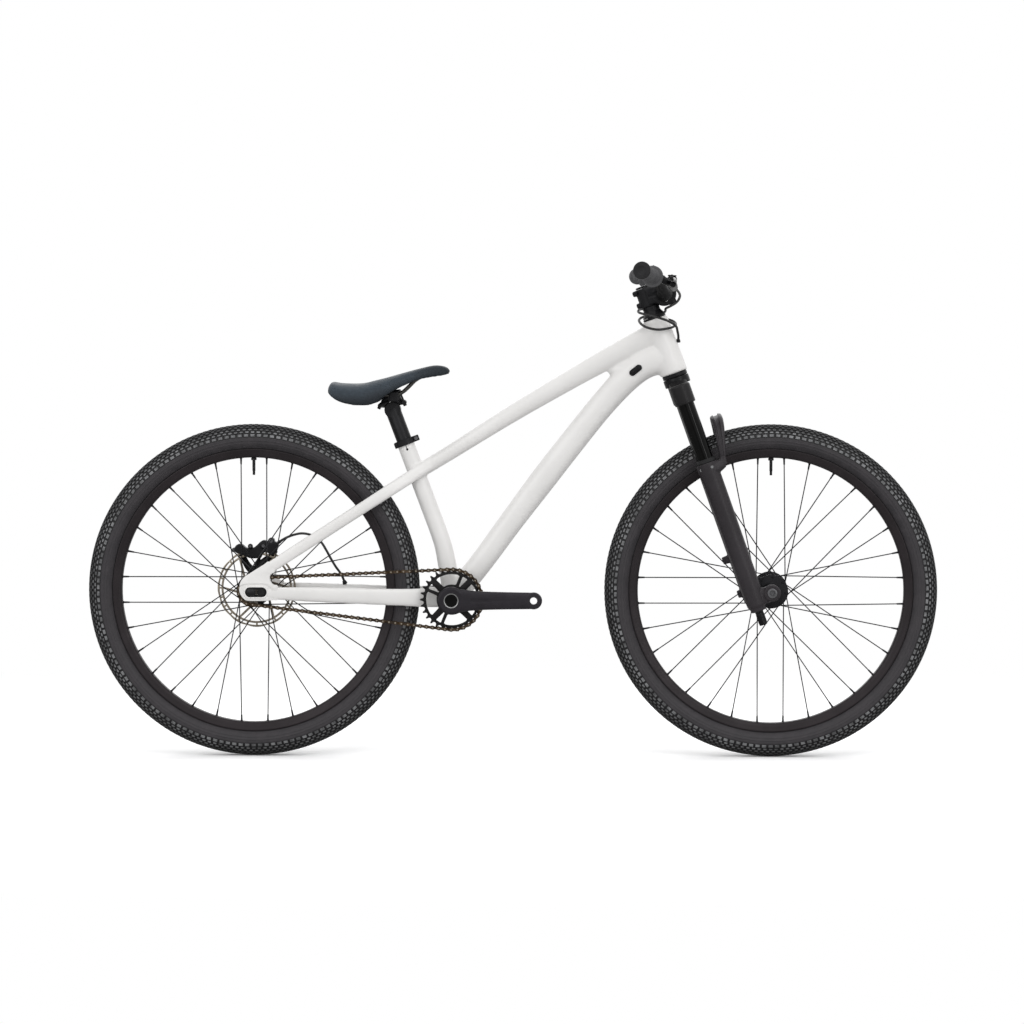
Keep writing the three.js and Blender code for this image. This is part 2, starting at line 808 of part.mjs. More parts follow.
const downTubeShares = [
  [0, 0, 0.94, 0.94],
  [0.143, 0.0076, 0.94, 0.94],
  [0.296, 0.0223, 0.97, 0.96],
  [0.45, 0.0353, 1.04, 1],
  [0.606, 0.046, 1.04, 1],
  [0.75, 0.0535, 1.04, 1],
  [0.87, 0.0518, 1.12, 1.02],
  [0.945, 0.037, 1.24, 1.02],
  [1, 0, 1.32, 1.02],
];
const topTubeShares = [
  [0, 0, 0.86, 0.86],
  [0.144, 0.0025, 0.88, 0.9],
  [0.4, 0.0105, 1, 0.97],
  [0.651, 0.0115, 1.14, 1.03],
  [0.8, 0.009, 1.25, 1.06],
  [0.9, 0.006, 1.32, 1.1],
  [1, 0, 1.42, 1.15],
];

function headCutter() {
  const radii = [headTube.lowerRadius + gap, headTube.upperRadius + gap];
  const top = headTube.length + overrun;
  const profile = [
    [0, -overrun],
    [radii[0], -overrun],
    [radii[0], 0],
    [radii[1], headTube.length],
    [radii[1], top],
    [0, top],
  ];
  return turnedUp(profile, roundSteps).applyMatrix4(steerMatrix);
}

function shellCutter() {
  const radius = bottomBracket.shellRadius + gap;
  const cutter = rod(radius, -bottomBracket.shellWidth, bottomBracket.shellWidth, roundSteps);
  return cutter.translate(crankX, 0, crankHeight);
}

function downTubeBody() {
  const from = vec(crankX, 0, crankHeight);
  const to = steerPoint(0, 0, headTube.length * downTube.headShare);
  const stations = frameStations(from, to, downTubeShares, downTube);
  const cutters = [headCutter(), shellCutter(), seatTubeCutter(), topTubeCutter()];
  return cut(hollowTube(stations, tubeSides, wall), ...cutters);
}

function topTubeStations(extra) {
  const from = seatPoint(0, 0, -topTube.seatDrop);
  const to = steerPoint(0, 0, headTube.length * topTube.headShare);
  return frameStations(from, to, topTubeShares, {
    width: topTube.width + extra,
    height: topTube.height + extra,
  });
}

function topTubeCutter() {
  return solidTube(topTubeStations(2 * gap), tubeSides);
}

function topTubeBody() {
  const stations = topTubeStations(0);
  const cutter = uprightRod(seatTube.radius + gap, -seatStraight, overrun, topTube.cutterSteps);
  return cut(hollowTube(stations, tubeSides, wall), headCutter(), cutter.applyMatrix4(seatMatrix));
}

// The seat tube is straight below the collar, then bends forward to the bottom bracket and widens
function seatTubeStations() {
  const bendAt = seatPoint(0, 0, -seatStraight);
  const bottom = vec(crankX, 0, crankHeight);
  const bendShares = [0.25, 0.5, 1];
  const bend = bendShares.map((share) => ({
    at: bendAt.clone().lerp(bottom, share),
    width: 2 * seatTube.radius,
    height: seatTube.lowWidth,
  }));
  const straightShares = [0, 1];
  const straight = straightShares.map((share) => ({
    at: seatPoint(0, 0, -seatStraight * share),
    width: 2 * seatTube.radius,
    height: 2 * seatTube.radius,
  }));
  return [...straight, ...bend];
}

function seatTubeBody() {
  const thickness = seatTube.radius - post.radius - gap;
  return cut(hollowTube(seatTubeStations(), roundSteps, thickness), shellCutter());
}

function seatTubeCutter() {
  const stations = seatTubeStations().map((station) => ({
    ...station,
    width: station.width + 2 * gap,
    height: station.height + 2 * gap,
  }));
  return solidTube(stations, roundSteps);
}

// Stays follow stations given as shares: along the line, of the dropout's distance to the side, height, width
function stayStations(from, to, shares, stay, side) {
  return shares.map(([along, reach, height, width]) => ({
    at: from.clone().lerp(to, along).setY(side * dropoutCentre * reach),
    height: height * stay.height,
    width: width * stay.width,
    power: 2.6,
  }));
}

const chainstayShares = [
  [0, 0.33, 1.05, 0.9],
  [0.17, 0.42, 1.08, 0.86],
  [0.26, 0.56, 1, 0.86],
  [0.5, 0.76, 0.91, 1],
  [0.8, 0.88, 0.83, 1],
  [0.94, 0.98, 0.76, 0.7],
  [1, 1, 0.74, 0.57],
];
const seatstayShares = [
  [0, 0.3, 1.04, 1],
  [0.07, 0.42, 1.04, 1],
  [0.2, 0.66, 1, 1],
  [0.45, 0.78, 0.96, 1],
  [0.75, 0.93, 0.92, 0.86],
  [0.92, 1, 0.84, 0.6],
  [1, 1, 0.8, 0.57],
];

// Corners of the dropout's plate, as seen from the side and measured from the wheel's axle
function dropoutShape() {
  const half = dropout.stayHeight / 2;
  const endShare = seatstayShares[seatstayShares.length - 1][2];
  const across = (seatstay.height * endShare) / 2;
  const lean = seatstayEnd.lean * DEG;
  const points = [
    [-dropout.rearReach, dropout.lowReach / 3],
    [-dropout.rearReach, -dropout.lowReach / 2],
    [-dropout.rearReach / 2, -dropout.lowReach],
    [dropout.stayLength - half, -dropout.lowReach],
    [stayEnd.x, stayEnd.z - half],
    [stayEnd.x, stayEnd.z + half],
    [stayEnd.x - dropout.thickness, stayEnd.z + half + dropout.thickness],
    [seatstayEnd.x + across * Math.sin(lean), seatstayEnd.z - across * Math.cos(lean)],
    [seatstayEnd.x - across * Math.sin(lean), seatstayEnd.z + across * Math.cos(lean)],
    [-dropout.rearReach / 2, dropout.upReach],
  ];
  return outline(points);
}

function dropoutBody(side) {
  const plate = slab(dropoutShape(), dropout.thickness, side * dropoutCentre);
  const slot = slab(
    stadium(dropout.slotLength, 2 * (rearAxle.radius + gap), dropout.slotLength / 2 - rearAxle.radius - gap, 0),
    overrun,
    side * dropoutCentre,
  );
  const face = dropout.innerFace + dropout.thickness;
  const window = slab(
    stadium(dropout.windowLength, dropout.windowHeight, dropout.windowShift, 0),
    2 * dropout.recess,
    side * face,
  );
  return cut(plate, slot, window).translate(rearX, 0, wheelRadius);
}

function chainstayBody(side) {
  const from = vec(crankX, 0, crankHeight);
  const to = vec(rearX + stayEnd.x + gap, 0, wheelRadius + stayEnd.z);
  const stations = stayStations(from, to, chainstayShares, chainstay, side);
  stations[stations.length - 1].along = vec(-1, 0, 0);
  const stay = hollowTube(stations, staySides, chainstay.wall);
  const middleGap = block(wheelbase, 2 * gap, wheelbase, 0, 0, 0);
  return cut(stay, shellCutter(), seatTubeCutter(), middleGap);
}

function seatstayBody(side) {
  const from = seatPoint(0, 0, -topTube.seatDrop);
  const lean = seatstayEnd.lean * DEG;
  const to = vec(
    rearX + seatstayEnd.x + gap * Math.cos(lean),
    0,
    wheelRadius + seatstayEnd.z + gap * Math.sin(lean),
  );
  const stations = stayStations(from, to, seatstayShares, seatstay, side);
  stations[stations.length - 1].along = vec(-Math.cos(lean), 0, -Math.sin(lean));
  return cut(hollowTube(stations, staySides, seatstay.wall), seatTubeCutter(), topTubeCutter());
}

function headTubeBody() {
  const h = headTube;
  const profile = [
    [h.boreRadius, 0],
    [h.lowerRadius, 0],
    [h.upperRadius, h.length],
    [h.boreRadius, h.length],
  ];
  return turnedUp(profile, roundSteps);
}

// A headset cup: a flange outside the head tube and a skirt inside it
function headsetCup(flangeRadius, height) {
  const skirtRadius = headTube.boreRadius - gap;
  return turnedUp(
    [
      [cup.boreRadius, -height],
      [flangeRadius, -height],
      [flangeRadius, -gap],
      [skirtRadius, -gap],
      [skirtRadius, cup.skirt],
      [cup.boreRadius, cup.skirt],
    ],
    roundSteps,
  );
}

function shellBody() {
  const half = bottomBracket.shellWidth / 2;
  return pipe(bottomBracket.shellRadius, bottomBracket.boreRadius, -half, half, roundSteps);
}

// The bearing cartridge: a sleeve through the shell with a lip outside each of its faces
function cartridgeBody() {
  const half = bottomBracket.shellWidth / 2 + gap;
  const sleeve = bottomBracket.boreRadius - gap;
  const end = half + cartridge.lipWidth;
  return turned(
    [
      [cartridge.boreRadius, -end],
      [cartridge.lipRadius, -end],
      [cartridge.lipRadius, -half],
      [sleeve, -half],
      [sleeve, half],
      [cartridge.lipRadius, half],
      [cartridge.lipRadius, end],
      [cartridge.boreRadius, end],
    ],
    hubSteps,
  );
}

// The split collar at the top of the seat tube, with its bolt's two lugs at the back
function collarBody() {
  const inner = seatTube.radius + gap;
  const outer = inner + collar.wall;
  const lugMiddle = -outer - collar.lugLength / 2 + collar.wall / 2;
  const half = collar.height / 2;
  const ring = sleeve(outer, inner, -collar.height, 0, hubSteps);
  const lugs = block(collar.lugLength, collar.lugWidth, collar.height, lugMiddle, 0, -half);
  const split = block(overrun, collar.slit, overrun, -inner - overrun / 2, 0, 0);
  const bolt = rod(collar.boltRadius, -overrun, overrun, wireSides);
  bolt.translate(-outer - collar.boltRadius, 0, -half);
  return cut(join(ring, lugs), split, bolt);
}

function rearAxleBody() {
  const face = dropout.innerFace + dropout.thickness - dropout.recess + gap;
  const end = face + rearAxle.headLength;
  return turned(
    [
      [0, -end],
      [rearAxle.headRadius, -end],
      [rearAxle.headRadius, -face],
      [rearAxle.radius, -face],
      [rearAxle.radius, face],
      [rearAxle.headRadius, face],
      [rearAxle.headRadius, end],
      [0, end],
    ],
    rearAxle.steps,
  );
}

// A rubber plug lying on the down tube's right flank
function plugBody() {
  const headEndShare = downTubeShares[downTubeShares.length - 1][3];
  const side = -(downTube.width * headEndShare) / 2 - gap - portPlug.thickness / 2;
  const shape = stadium(portPlug.length, portPlug.width, 0, 0);
  return slab(shape, portPlug.thickness, 0)
    .rotateY(-portPlug.tilt * DEG)
    .translate(headEnd.x - portPlug.setback, side, headEnd.z + portPlug.lift);
}

// The brake caliper over the rotor, with its foot on the left dropout's upper corner
function caliperBody() {
  const c = caliper;
  const shell = block(c.length, c.width, c.height, 0, c.side, 0);
  shell.rotateY(-c.lean * DEG).translate(c.back, 0, c.up);
  const footSide = c.side + c.width / 2 + c.footWidth / 2 - gap;
  const foot = block(3 * c.footWidth, c.footWidth, c.up, c.footWidth / 2, footSide, c.up - c.height / 4);
  const disc = rod(rotor.radius + c.slot / 2, rotor.offset - c.slot / 2, rotor.offset + c.slot / 2, tyre.steps);
  const plate = slab(dropoutShape(), dropout.thickness + 2 * gap, dropoutCentre);
  return cut(join(shell, foot), disc, plate).translate(rearX, 0, wheelRadius);
}

// Brake hoses follow routes chosen by hand. The front one is measured from the head
// tube's lower end and the rear one from the rear wheel's middle.
const frontHoseRoute = [
  [-4.7, -166, 170],
  [4.3, -143, 163],
  [8.3, -117, 154],
  [3.3, -88, 143],
  [-8.7, -60, 135],
  [-17.7, -30, 130],
  [-17.7, 2, 126],
  [-20.7, 27, 123],
  [-38.7, 37, 119],
  [-58.7, 27, 115],
  [-70.7, 3, 108],
  [-66.7, -22, 99],
  [-54.7, -35, 92],
  [-34.7, -39, 88],
  [-15.7, -32, 90],
  [-1.7, -15, 94],
  [3.3, 3, 99],
  [-1.7, 22, 105],
  [-18.7, 36, 111],
  [-40.7, 42, 121],
  [-60.7, 34, 129],
  [-71.7, 10, 127],
  [-70.7, -14, 122],
  [-56.7, -32, 118],
  [-32.7, -42, 112],
  [-10.7, -40, 104],
  [2.5, -29, 95],
  [6, -17, 85],
  [8, -8, 74.5],
  [7.8, -4, 64],
];
const rearHoseRoute = [
  [44, 60, 92],
  [58, 60, 101],
  [76, 60, 108],
  [94, 55, 111],
  [114, 49, 107],
  [132, 45, 94],
  [143, 45, 77],
  [152, 47, 60],
  [162, 50, 43],
  [173, 53, 27],
  [180, 56, 9.2],
];

function hoseBody(route, origin) {
  const points = route.map(([x, y, z]) => vec(x, y, z).add(origin));
  const curve = new THREE.CatmullRomCurve3(points);
  const circle = new THREE.Shape();
  for (let i = 0; i < hose.sides; i += 1) {
    const angle = (i / hose.sides) * TURN;
    const x = hose.radius * Math.cos(angle);
    const y = hose.radius * Math.sin(angle);
    if (i === 0) {
      circle.moveTo(x, y);
    } else {
      circle.lineTo(x, y);
    }
  }
  const steps = Math.round(route.length * hose.stepsPerPoint);
  return weld(new THREE.ExtrudeGeometry(circle, { steps, extrudePath: curve, curveSegments: 1 }));
}

// The crown arches over the tyre between two leg clamps, and carries the steerer
function crownBody() {
  const f = fork;
  const shoulder = f.legSpacing - f.clampRadius;
  const top = -cup.height - gap;
  const under = top - f.crownThickness;
  const shape = outline([
    [-f.legSpacing, -f.clampTop],
    [-cup.lowerRadius, top],
    [cup.lowerRadius, top],
    [f.legSpacing, -f.clampTop],
    [f.legSpacing, -f.clampBottom],
    [shoulder, -f.clampBottom],
    [shoulder * f.crownOuterShare, -f.clampTop - f.crownThickness],
    [shoulder * f.crownInnerShare, under],
    [-shoulder * f.crownInnerShare, under],
    [-shoulder * f.crownOuterShare, -f.clampTop - f.crownThickness],
    [-shoulder, -f.clampBottom],
    [-f.legSpacing, -f.clampBottom],
  ]);
  const bridge = slab(shape, f.crownDepth, 0).rotateZ(Math.PI / 2);
  const steerer = uprightRod(f.steererRadius, under, f.steererTop, roundSteps);
  const bore = uprightRod(f.steererRadius - wall, -f.clampBottom, f.steererTop + overrun, roundSteps);
  const clamp = uprightRod(f.clampRadius, -f.clampBottom, -f.clampTop, roundSteps);
  const legCut = uprightRod(f.stanchionRadius + gap, -f.clampBottom - overrun, -f.clampTop - wall, roundSteps);
  const clamps = [-1, 1].map((side) => clamp.clone().translate(0, side * f.legSpacing, 0));
  const cuts = [-1, 1].map((side) => legCut.clone().translate(0, side * f.legSpacing, 0));
  return cut(join(bridge, ...clamps, steerer), bore, ...cuts);
}

function stanchionBody() {
  const f = fork;
  const top = -f.clampTop - wall - gap;
  const inner = f.stanchionRadius - f.stanchionWall;
  return turnedUp(
    [
      [0, top - wall],
      [inner, top - wall],
      [inner, -stanchionDrop],
      [f.stanchionRadius, -stanchionDrop],
      [f.stanchionRadius, top],
      [0, top],
    ],
    roundSteps,
  );
}

function legBody() {
  const f = fork;
  const top = -sealTop - f.sealHeight;
  const bore = f.stanchionRadius + gap;
  return turnedUp(
    [
      [0, -legBottom],
      [f.footRadius, -legBottom],
      [f.legRadius, -legBoreBottom],
      [f.legRadius, top],
      [bore, top],
      [bore, -legBoreBottom],
      [0, -legBoreBottom],
    ],
    roundSteps,
  );
}

// The arch's path as shares: to the side, up from its foot to its crest, and forward
const archShares = [
  [1, 0, 0],
  [1, 0.3, 0.25],
  [0.93, 0.58, 0.55],
  [0.72, 0.82, 0.85],
  [0.4, 0.96, 1],
  [0, 1, 1],
];

// The brace between the legs, passing in front of and over the tyre
function archBody() {
  const a = arch;
  const s = fork.legSpacing;
  const half = archShares.map(([side, rise, push]) =>
    vec(a.legForward + (a.forward - a.legForward) * push, side * s, -archFoot + (archFoot - archCrest) * rise),
  );
  const other = half.slice(0, -1).map((p) => vec(p.x, -p.y, p.z)).reverse();
  const stations = [...half, ...other].map((at) => ({
    at,
    across: vec(1, 0, 0),
    width: a.depth,
    height: a.thickness,
    power: 3,
  }));
  const reach = a.legForward + a.depth / 2;
  const feet = [-1, 1].map((side) => block(reach, a.thickness, a.thickness, reach / 2, side * s, -archFoot));
  return join(solidTube(stations, arch.sides), ...feet);
}

function forkDropoutBody(side) {
  const d = forkDropout;
  const inner = frontHub.width / 2 + gap;
  const faces = [side * inner, side * d.outerFace];
  const lobe = rod(d.radius, Math.min(...faces), Math.max(...faces), hubSteps);
  const web = block(axlePlace.x, d.web, 2 * d.radius, -axlePlace.x / 2, side * (inner + d.web / 2), 0);
  return join(lobe, web).translate(axlePlace.x, 0, axlePlace.z);
}

// The two brake tabs behind the left leg
function tabBodies() {
  const t = discTab;
  const side = fork.legSpacing - t.thickness / 4;
  const low = axlePlace.z + t.height;
  return [low, low + t.boltSpacing].map((z) => block(t.reach, t.thickness, t.length, -t.reach / 2, side, z));
}

function lowersBody() {
  const f = fork;
  const atAxle = (shape) => shape.translate(axlePlace.x, 0, axlePlace.z);
  const legs = [-1, 1].map((side) => legBody().translate(0, side * f.legSpacing, 0));
  const bore = uprightRod(f.stanchionRadius + gap, -legBoreBottom, overrun, roundSteps);
  const bores = [-1, 1].map((side) => bore.clone().translate(0, side * f.legSpacing, 0));
  const hubHalf = frontHub.width / 2 + gap;
  const hubRoom = atAxle(rod(frontHub.discFlangeRadius + discTab.hubGap, -hubHalf, hubHalf, hubSteps));
  const farSide = forkDropout.outerFace + overrun;
  const axleHole = atAxle(rod(frontAxle.radius + gap, -farSide, farSide, hubSteps));
  const shape = join(...legs, archBody(), forkDropoutBody(-1), forkDropoutBody(1), ...tabBodies());
  return cut(shape, ...bores, axleHole, hubRoom);
}

function sealBody() {
  const f = fork;
  const bottom = -sealTop - f.sealHeight + gap;
  const inner = f.stanchionRadius + gap;
  const profile = [
    [inner, bottom],
    [f.legRadius, bottom],
    [f.legRadius, -sealTop - f.sealHeight / 2],
    [inner + wall, -sealTop],
    [inner, -sealTop],
  ];
  return turnedUp(profile, roundSteps);
}

function frontAxleBody() {
  const end = forkDropout.outerFace + wall;
  const tube = pipe(frontAxle.radius, frontAxle.radius - wall, -end, end, hubSteps);
  return tube.translate(axlePlace.x, 0, axlePlace.z);
}

function knobBody() {
  return uprightRod(knob.radius, knobTop - knob.length, knobTop, knob.sides);
}

function headCoverBody() {
  const h = headCover;
  const from = headTube.length + cup.upperHeight + gap;
  const profile = [
    [h.boreRadius, from],
    [h.lowRadius, from],
    [h.topRadius, from + h.coneHeight],
    [h.topRadius, from + h.height],
    [h.boreRadius, from + h.height],
  ];
  return turnedUp(profile, roundSteps);
}

function barBore() {
  const bore = rod(bar.clampRadius + gap, -stem.width, stem.width, roundSteps);
  return bore.translate(stem.reach, 0, stem.barHeight);
}

function stemBody() {
  const s = stem;
  const middle = stemBottom + s.clampHeight / 2;
  const clamp = uprightRod(s.radius, stemBottom, stemBottom + s.clampHeight, roundSteps);
  const neck = block(s.reach, s.width, s.clampHeight - wall, s.reach / 2, 0, middle);
  const ears = block(s.radius + wall, s.width / 2, s.clampHeight, -(s.radius + wall) / 2, 0, middle);
  const split = block(overrun, wall, 2 * overrun, wall - fork.steererRadius - overrun / 2, 0, middle);
  const hole = uprightRod(fork.steererRadius + gap, 0, fork.steererTop + overrun, roundSteps);
  return cut(join(clamp, neck, ears), hole, barBore(), split);
}

function faceplateBody() {
  const depth = bar.clampRadius + faceplate.thickness - gap;
  const middle = stem.reach + gap + depth / 2;
  const cover = block(depth, faceplate.width, stem.clampHeight, middle, 0, stem.barHeight);
  return cut(cover, barBore());
}

function topCapBody() {
  const from = stemBottom + stem.clampHeight + gap;
  return uprightRod(topCap.radius, from, from + topCap.height, roundSteps);
}

// One point of the bar's middle line at a distance to the side
function barPoint(side) {
  const s = barShape;
  const reach = Math.abs(side);
  const start = vec(stem.reach, 0, stem.barHeight);
  const knee = vec(stem.reach - s.sweepBack, 0, stem.barHeight + s.rise);
  const tip = vec(stem.reach - barEnd.back, 0, stem.barHeight + barEnd.up);
  if (reach <= s.clampHalf) {
    return start.setY(side);
  }
  if (reach <= barKneeSide) {
    const share = THREE.MathUtils.smoothstep(reach, s.clampHalf, barKneeSide);
    return start.lerp(knee, share).setY(side);
  }
  return knee.lerp(tip, (reach - barKneeSide) / s.straight).setY(side);
}

function barBody() {
  const s = barShape;
  const bend = barKneeSide - s.clampHalf;
  const bendShares = [1, 0.71, 0.35, 0];
  const half = [barEndSide, ...bendShares.map((share) => s.clampHalf + share * bend)];
  const sides = [...half.map((side) => -side), ...half.slice().reverse()];
  const stations = sides.map((side) => {
    const reach = Math.abs(side);
    const taper = THREE.MathUtils.smoothstep(reach, s.clampHalf, s.clampHalf + s.taperShare * bend);
    const radius = bar.clampRadius + (bar.radius - bar.clampRadius) * taper;
    return { at: barPoint(side), across: vec(1, 0, 0), width: 2 * radius, height: 2 * radius };
  });
  return hollowTube(stations, bar.sides, bar.wall);
}

// A grip: a sleeve with an inner flange and a thicker end
function gripBody(side) {
  const inner = bar.radius + gap;
  const from = barPoint(gripStart);
  const to = barPoint(barEndSide);
  const along = to.clone().sub(from).normalize();
  const length = from.distanceTo(to);
  const shell = turnedUp(
    [
      [inner, 0],
      [grip.flangeRadius, 0],
      [grip.flangeRadius, grip.flangeWidth],
      [grip.radius, grip.flangeWidth],
      [grip.radius, length],
      [grip.radius + wall, length],
      [grip.radius + wall, length + grip.endWidth],
      [0, length + grip.endWidth],
      [0, length + gap],
      [inner, length + gap],
    ],
    grip.steps,
  );
  const turn = new THREE.Quaternion().setFromUnitVectors(vec(0, 0, 1), along);
  const placed = shell.applyQuaternion(turn).translate(from.x, from.y, from.z);
  return side > 0 ? placed : mirrored(placed);
}

// The same body on the other side of the bike
function mirrored(geometry) {
  const place = geometry.getAttribute('position');
  const corners = [];
  for (let i = 0; i < place.count; i += 1) {
    corners.push(vec(place.getX(i), -place.getY(i), place.getZ(i)));
  }
  const faces = [];
  for (let i = 0; i < geometry.index.count; i += 3) {
    faces.push([geometry.index.getX(i), geometry.index.getX(i + 1), geometry.index.getX(i + 2)]);
  }
  return body(corners, faces);
}

// The brake's perch on the right of the bar: a clamp, its neck and the master cylinder
function leverPlaces() {
  const clampAt = barPoint(leverSide);
  const pivot = clampAt.clone().add(vec(leverBlade.pivotForward, 0, -leverBlade.pivotDrop));
  return { clampAt, pivot };
}

function perchBody() {
  const c = leverClamp;
  const { clampAt, pivot } = leverPlaces();
  const outward = barPoint(barEndSide).sub(barPoint(barKneeSide)).normalize();
  const inner = bar.radius + 2 * gap;
  const ring = sleeve(inner + c.wall, inner, -c.width / 2, c.width / 2, roundSteps);
  const turn = new THREE.Quaternion().setFromUnitVectors(vec(0, 0, 1), outward);
  ring.applyQuaternion(turn).translate(clampAt.x, clampAt.y, clampAt.z);
  const neckStart = clampAt.clone().add(vec(inner + c.wall / 2, 0, -c.wall));
  const neck = solidTube(
    [neckStart, pivot].map((at) => ({ at, width: c.width, height: c.width, power: 4 })),
    wireSides,
  );
  const portSide = clampAt.y - c.bodyLength + c.width / 2;
  const port = vec(stem.reach + c.portForward, portSide, stem.barHeight + c.portLift);
  const cylinder = solidTube(
    [pivot, port].map((at, i) => ({
      at: i === 0 ? at.clone().setY(clampAt.y + c.width / 2) : at,
      along: vec(0, 1, 0),
      across: vec(1, 0, 0),
      width: 2 * c.bodyRadius,
      height: 2 * c.bodyRadius,
    })),
    c.bodySides,
  );
  const bore = uprightRod(inner, -overrun, overrun, roundSteps);
  bore.applyQuaternion(turn).translate(clampAt.x, clampAt.y, clampAt.z);
  return mirrored(cut(join(ring, neck, cylinder), bore));
}

// The lever's blade as shares: along it, forward of its pivot, and its size
const bladeShares = [
  [0, 0, 1],
  [0.15, 0.45, 1],
  [0.45, 0.42, 0.9],
  [0.8, 0.12, 0.8],
  [1, 0.05, 0.85],
];

function bladeBody() {
  const b = leverBlade;
  const { clampAt, pivot } = leverPlaces();
  const start = clampAt.y + leverClamp.width / 2 + 3 * gap;
  const stations = bladeShares.map(([along, reach, size]) => ({
    at: vec(pivot.x + b.reach * reach, start + b.length * along, pivot.z + b.tipThickness * along),
    along: vec(0, 1, 0),
    across: vec(1, 0, 0),
    width: b.tipThickness * size,
    height: b.thickness * size,
    power: 3,
  }));
  return mirrored(solidTube(stations, wireSides));
}

function postBody() {
  const p = post;
  const neck = p.radius - wall;
  const tube = turnedUp(
    [
      [p.bore, -p.insertion],
      [p.radius, -p.insertion],
      [p.radius, p.headLift - 3 * p.headRadius],
      [neck, p.headLift - 2 * p.headRadius],
      [p.headRadius - wall, p.headLift],
      [0, p.headLift],
      [0, p.headLift - 3 * p.headRadius],
      [p.bore, p.headLift - 4 * p.headRadius],
    ],
    roundSteps,
  );
  const head = rod(p.headRadius, -p.headWidth / 2, p.headWidth / 2, hubSteps).translate(0, 0, p.headLift);
  return join(tube, head);
}

// The saddle's middle, which its post head carries
function saddlePlace() {
  const pivot = seatPoint(0, 0, post.headLift);
  return vec(pivot.x - saddle.setback, 0, pivot.z + saddle.lift);
}

// Each half of the rail's wire as shares: along the saddle, of its spread, and of the saddle's thickness
const wireShares = [
  [-0.37, 1, -0.12],
  [-0.3, 1, -0.26],
  [-0.12, 1, -0.34],
  [0.08, 1, -0.26],
  [0.16, 0.95, 0.04],
  [0.26, 0.85, 0.3],
  [0.33, 0.72, 0.4],
];

// Both saddle rails are one wire, bent round at the nose
function railStations(extra) {
  const half = rail.spacing / 2;
  const nose = rail.noseSpacing / 2;
  const size = 2 * (rail.radius + extra);
  const middle = saddlePlace();
  const oneSide = wireShares.map(([along, spread, rise]) =>
    vec(middle.x + along * saddle.length, spread * half, middle.z + rise * saddle.thickness),
  );
  const end = oneSide[oneSide.length - 1];
  const bend = [vec(end.x + nose * rail.bendShare, nose * rail.bendShare, end.z), vec(end.x + nose, 0, end.z)];
  const path = [...oneSide, ...bend];
  const back = path.slice(0, -1).reverse().map((p) => vec(p.x, -p.y, p.z));
  return [...path, ...back].map((at) => ({ at, across: vec(0, 0, 1), width: size, height: size }));
}

// The saddle is a padded shell: each station has its half width, its crown and its lower edge
const saddleShares = [
  [0, 0.62, 0.1, -0.24, 0.5],
  [0.03, 0.8, 0.38, -0.45, 0.55],
  [0.1, 0.93, 0.34, -0.72, 0.68],
  [0.2, 0.99, 0.32, -0.88, 0.72],
  [0.3, 1, 0.36, -0.92, 0.73],
  [0.38, 0.93, 0.49, -0.84, 0.73],
  [0.46, 0.82, 0.6, -0.5, 0.64],
  [0.54, 0.7, 0.73, -0.14, 0.5],
  [0.64, 0.56, 0.9, 0.18, 0.4],
  [0.76, 0.43, 1.1, 0.46, 0.4],
  [0.87, 0.34, 1.25, 0.58, 0.4],
  [0.95, 0.28, 1.2, 0.66, 0.4],
  [1, 0.16, 0.92, 0.74, 0.4],
];

function saddleBody() {
  const { topSides, lowSides, thickness } = saddle;
  const half = saddle.width / 2;
  const middle = saddlePlace();
  const rings = saddleShares.map(([along, width, crown, edge, hollow]) => {
    const x = middle.x + (along - 1 / 2) * saddle.length;
    const low = middle.z + edge * thickness;
    const rise = (crown - edge) * thickness;
    const ring = [];
    for (let i = 0; i < topSides; i += 1) {
      const angle = (i / (topSides - 1) - 1 / 2) * Math.PI;
      const level = Math.max(Math.cos(angle), 0);
      const crest = (1 - saddle.drawShare * level ** 8) * level ** saddle.crownPower;
      ring.push(vec(x, half * width * Math.sin(angle), low + rise * crest));
    }
    for (let i = 0; i < lowSides; i += 1) {
      const angle = (1 / 2 - (i + 1) / (lowSides + 1)) * Math.PI;
      const reach = half * width * saddle.lowShare;
      ring.push(vec(x, reach * Math.sin(angle), low + rise * hollow * Math.cos(angle)));
    }
    return ring;
  });
  const pocket = solidTube(railStations(gap), wireSides);
  return cut(skin(rings, false), pocket);
}

function saddleClampBody() {
  const pivot = seatPoint(0, 0, post.headLift);
  const low = pivot.z + wall;
  const high = saddlePlace().z - rail.radius;
  const middleX = pivot.x + railClamp.forward;
  const cradle = block(railClamp.length, railClamp.width, high - low, middleX, 0, (low + high) / 2);
  const head = rod(post.headRadius + gap, -railClamp.width, railClamp.width, hubSteps);
  head.translate(pivot.x, 0, pivot.z);
  return cut(cradle, head, solidTube(railStations(gap), wireSides));
}

// The frame and what is fixed to it
piece(frame, 'head_tube', headTubeBody().applyMatrix4(steerMatrix), 'frame');
piece(frame, 'top_tube', topTubeBody(), 'frame');
piece(frame, 'down_tube', downTubeBody(), 'frame');
piece(frame, 'seat_tube', seatTubeBody(), 'frame');
piece(drive, 'bottom_bracket_shell', shellBody(), 'frame');
piece(frame, 'chainstay_right', chainstayBody(-1), 'frame');
piece(frame, 'chainstay_left', chainstayBody(1), 'frame');
piece(frame, 'seatstay_right', seatstayBody(-1), 'frame');
piece(frame, 'seatstay_left', seatstayBody(1), 'frame');
piece(frame, 'dropout_right', dropoutBody(-1), 'frame');
piece(frame, 'dropout_left', dropoutBody(1), 'frame');
piece(frame, 'cable_port_plug', plugBody(), 'rubber');
piece(frame, 'rear_brake_caliper', caliperBody(), 'satinBlack');
piece(frame, 'rear_brake_hose', hoseBody(rearHoseRoute, vec(rearX, 0, wheelRadius)), 'hose');
piece(frame, 'chain', chainBody(), 'chainSteel');
piece(drive, 'bearing_cartridge', cartridgeBody(), 'satinBlack');
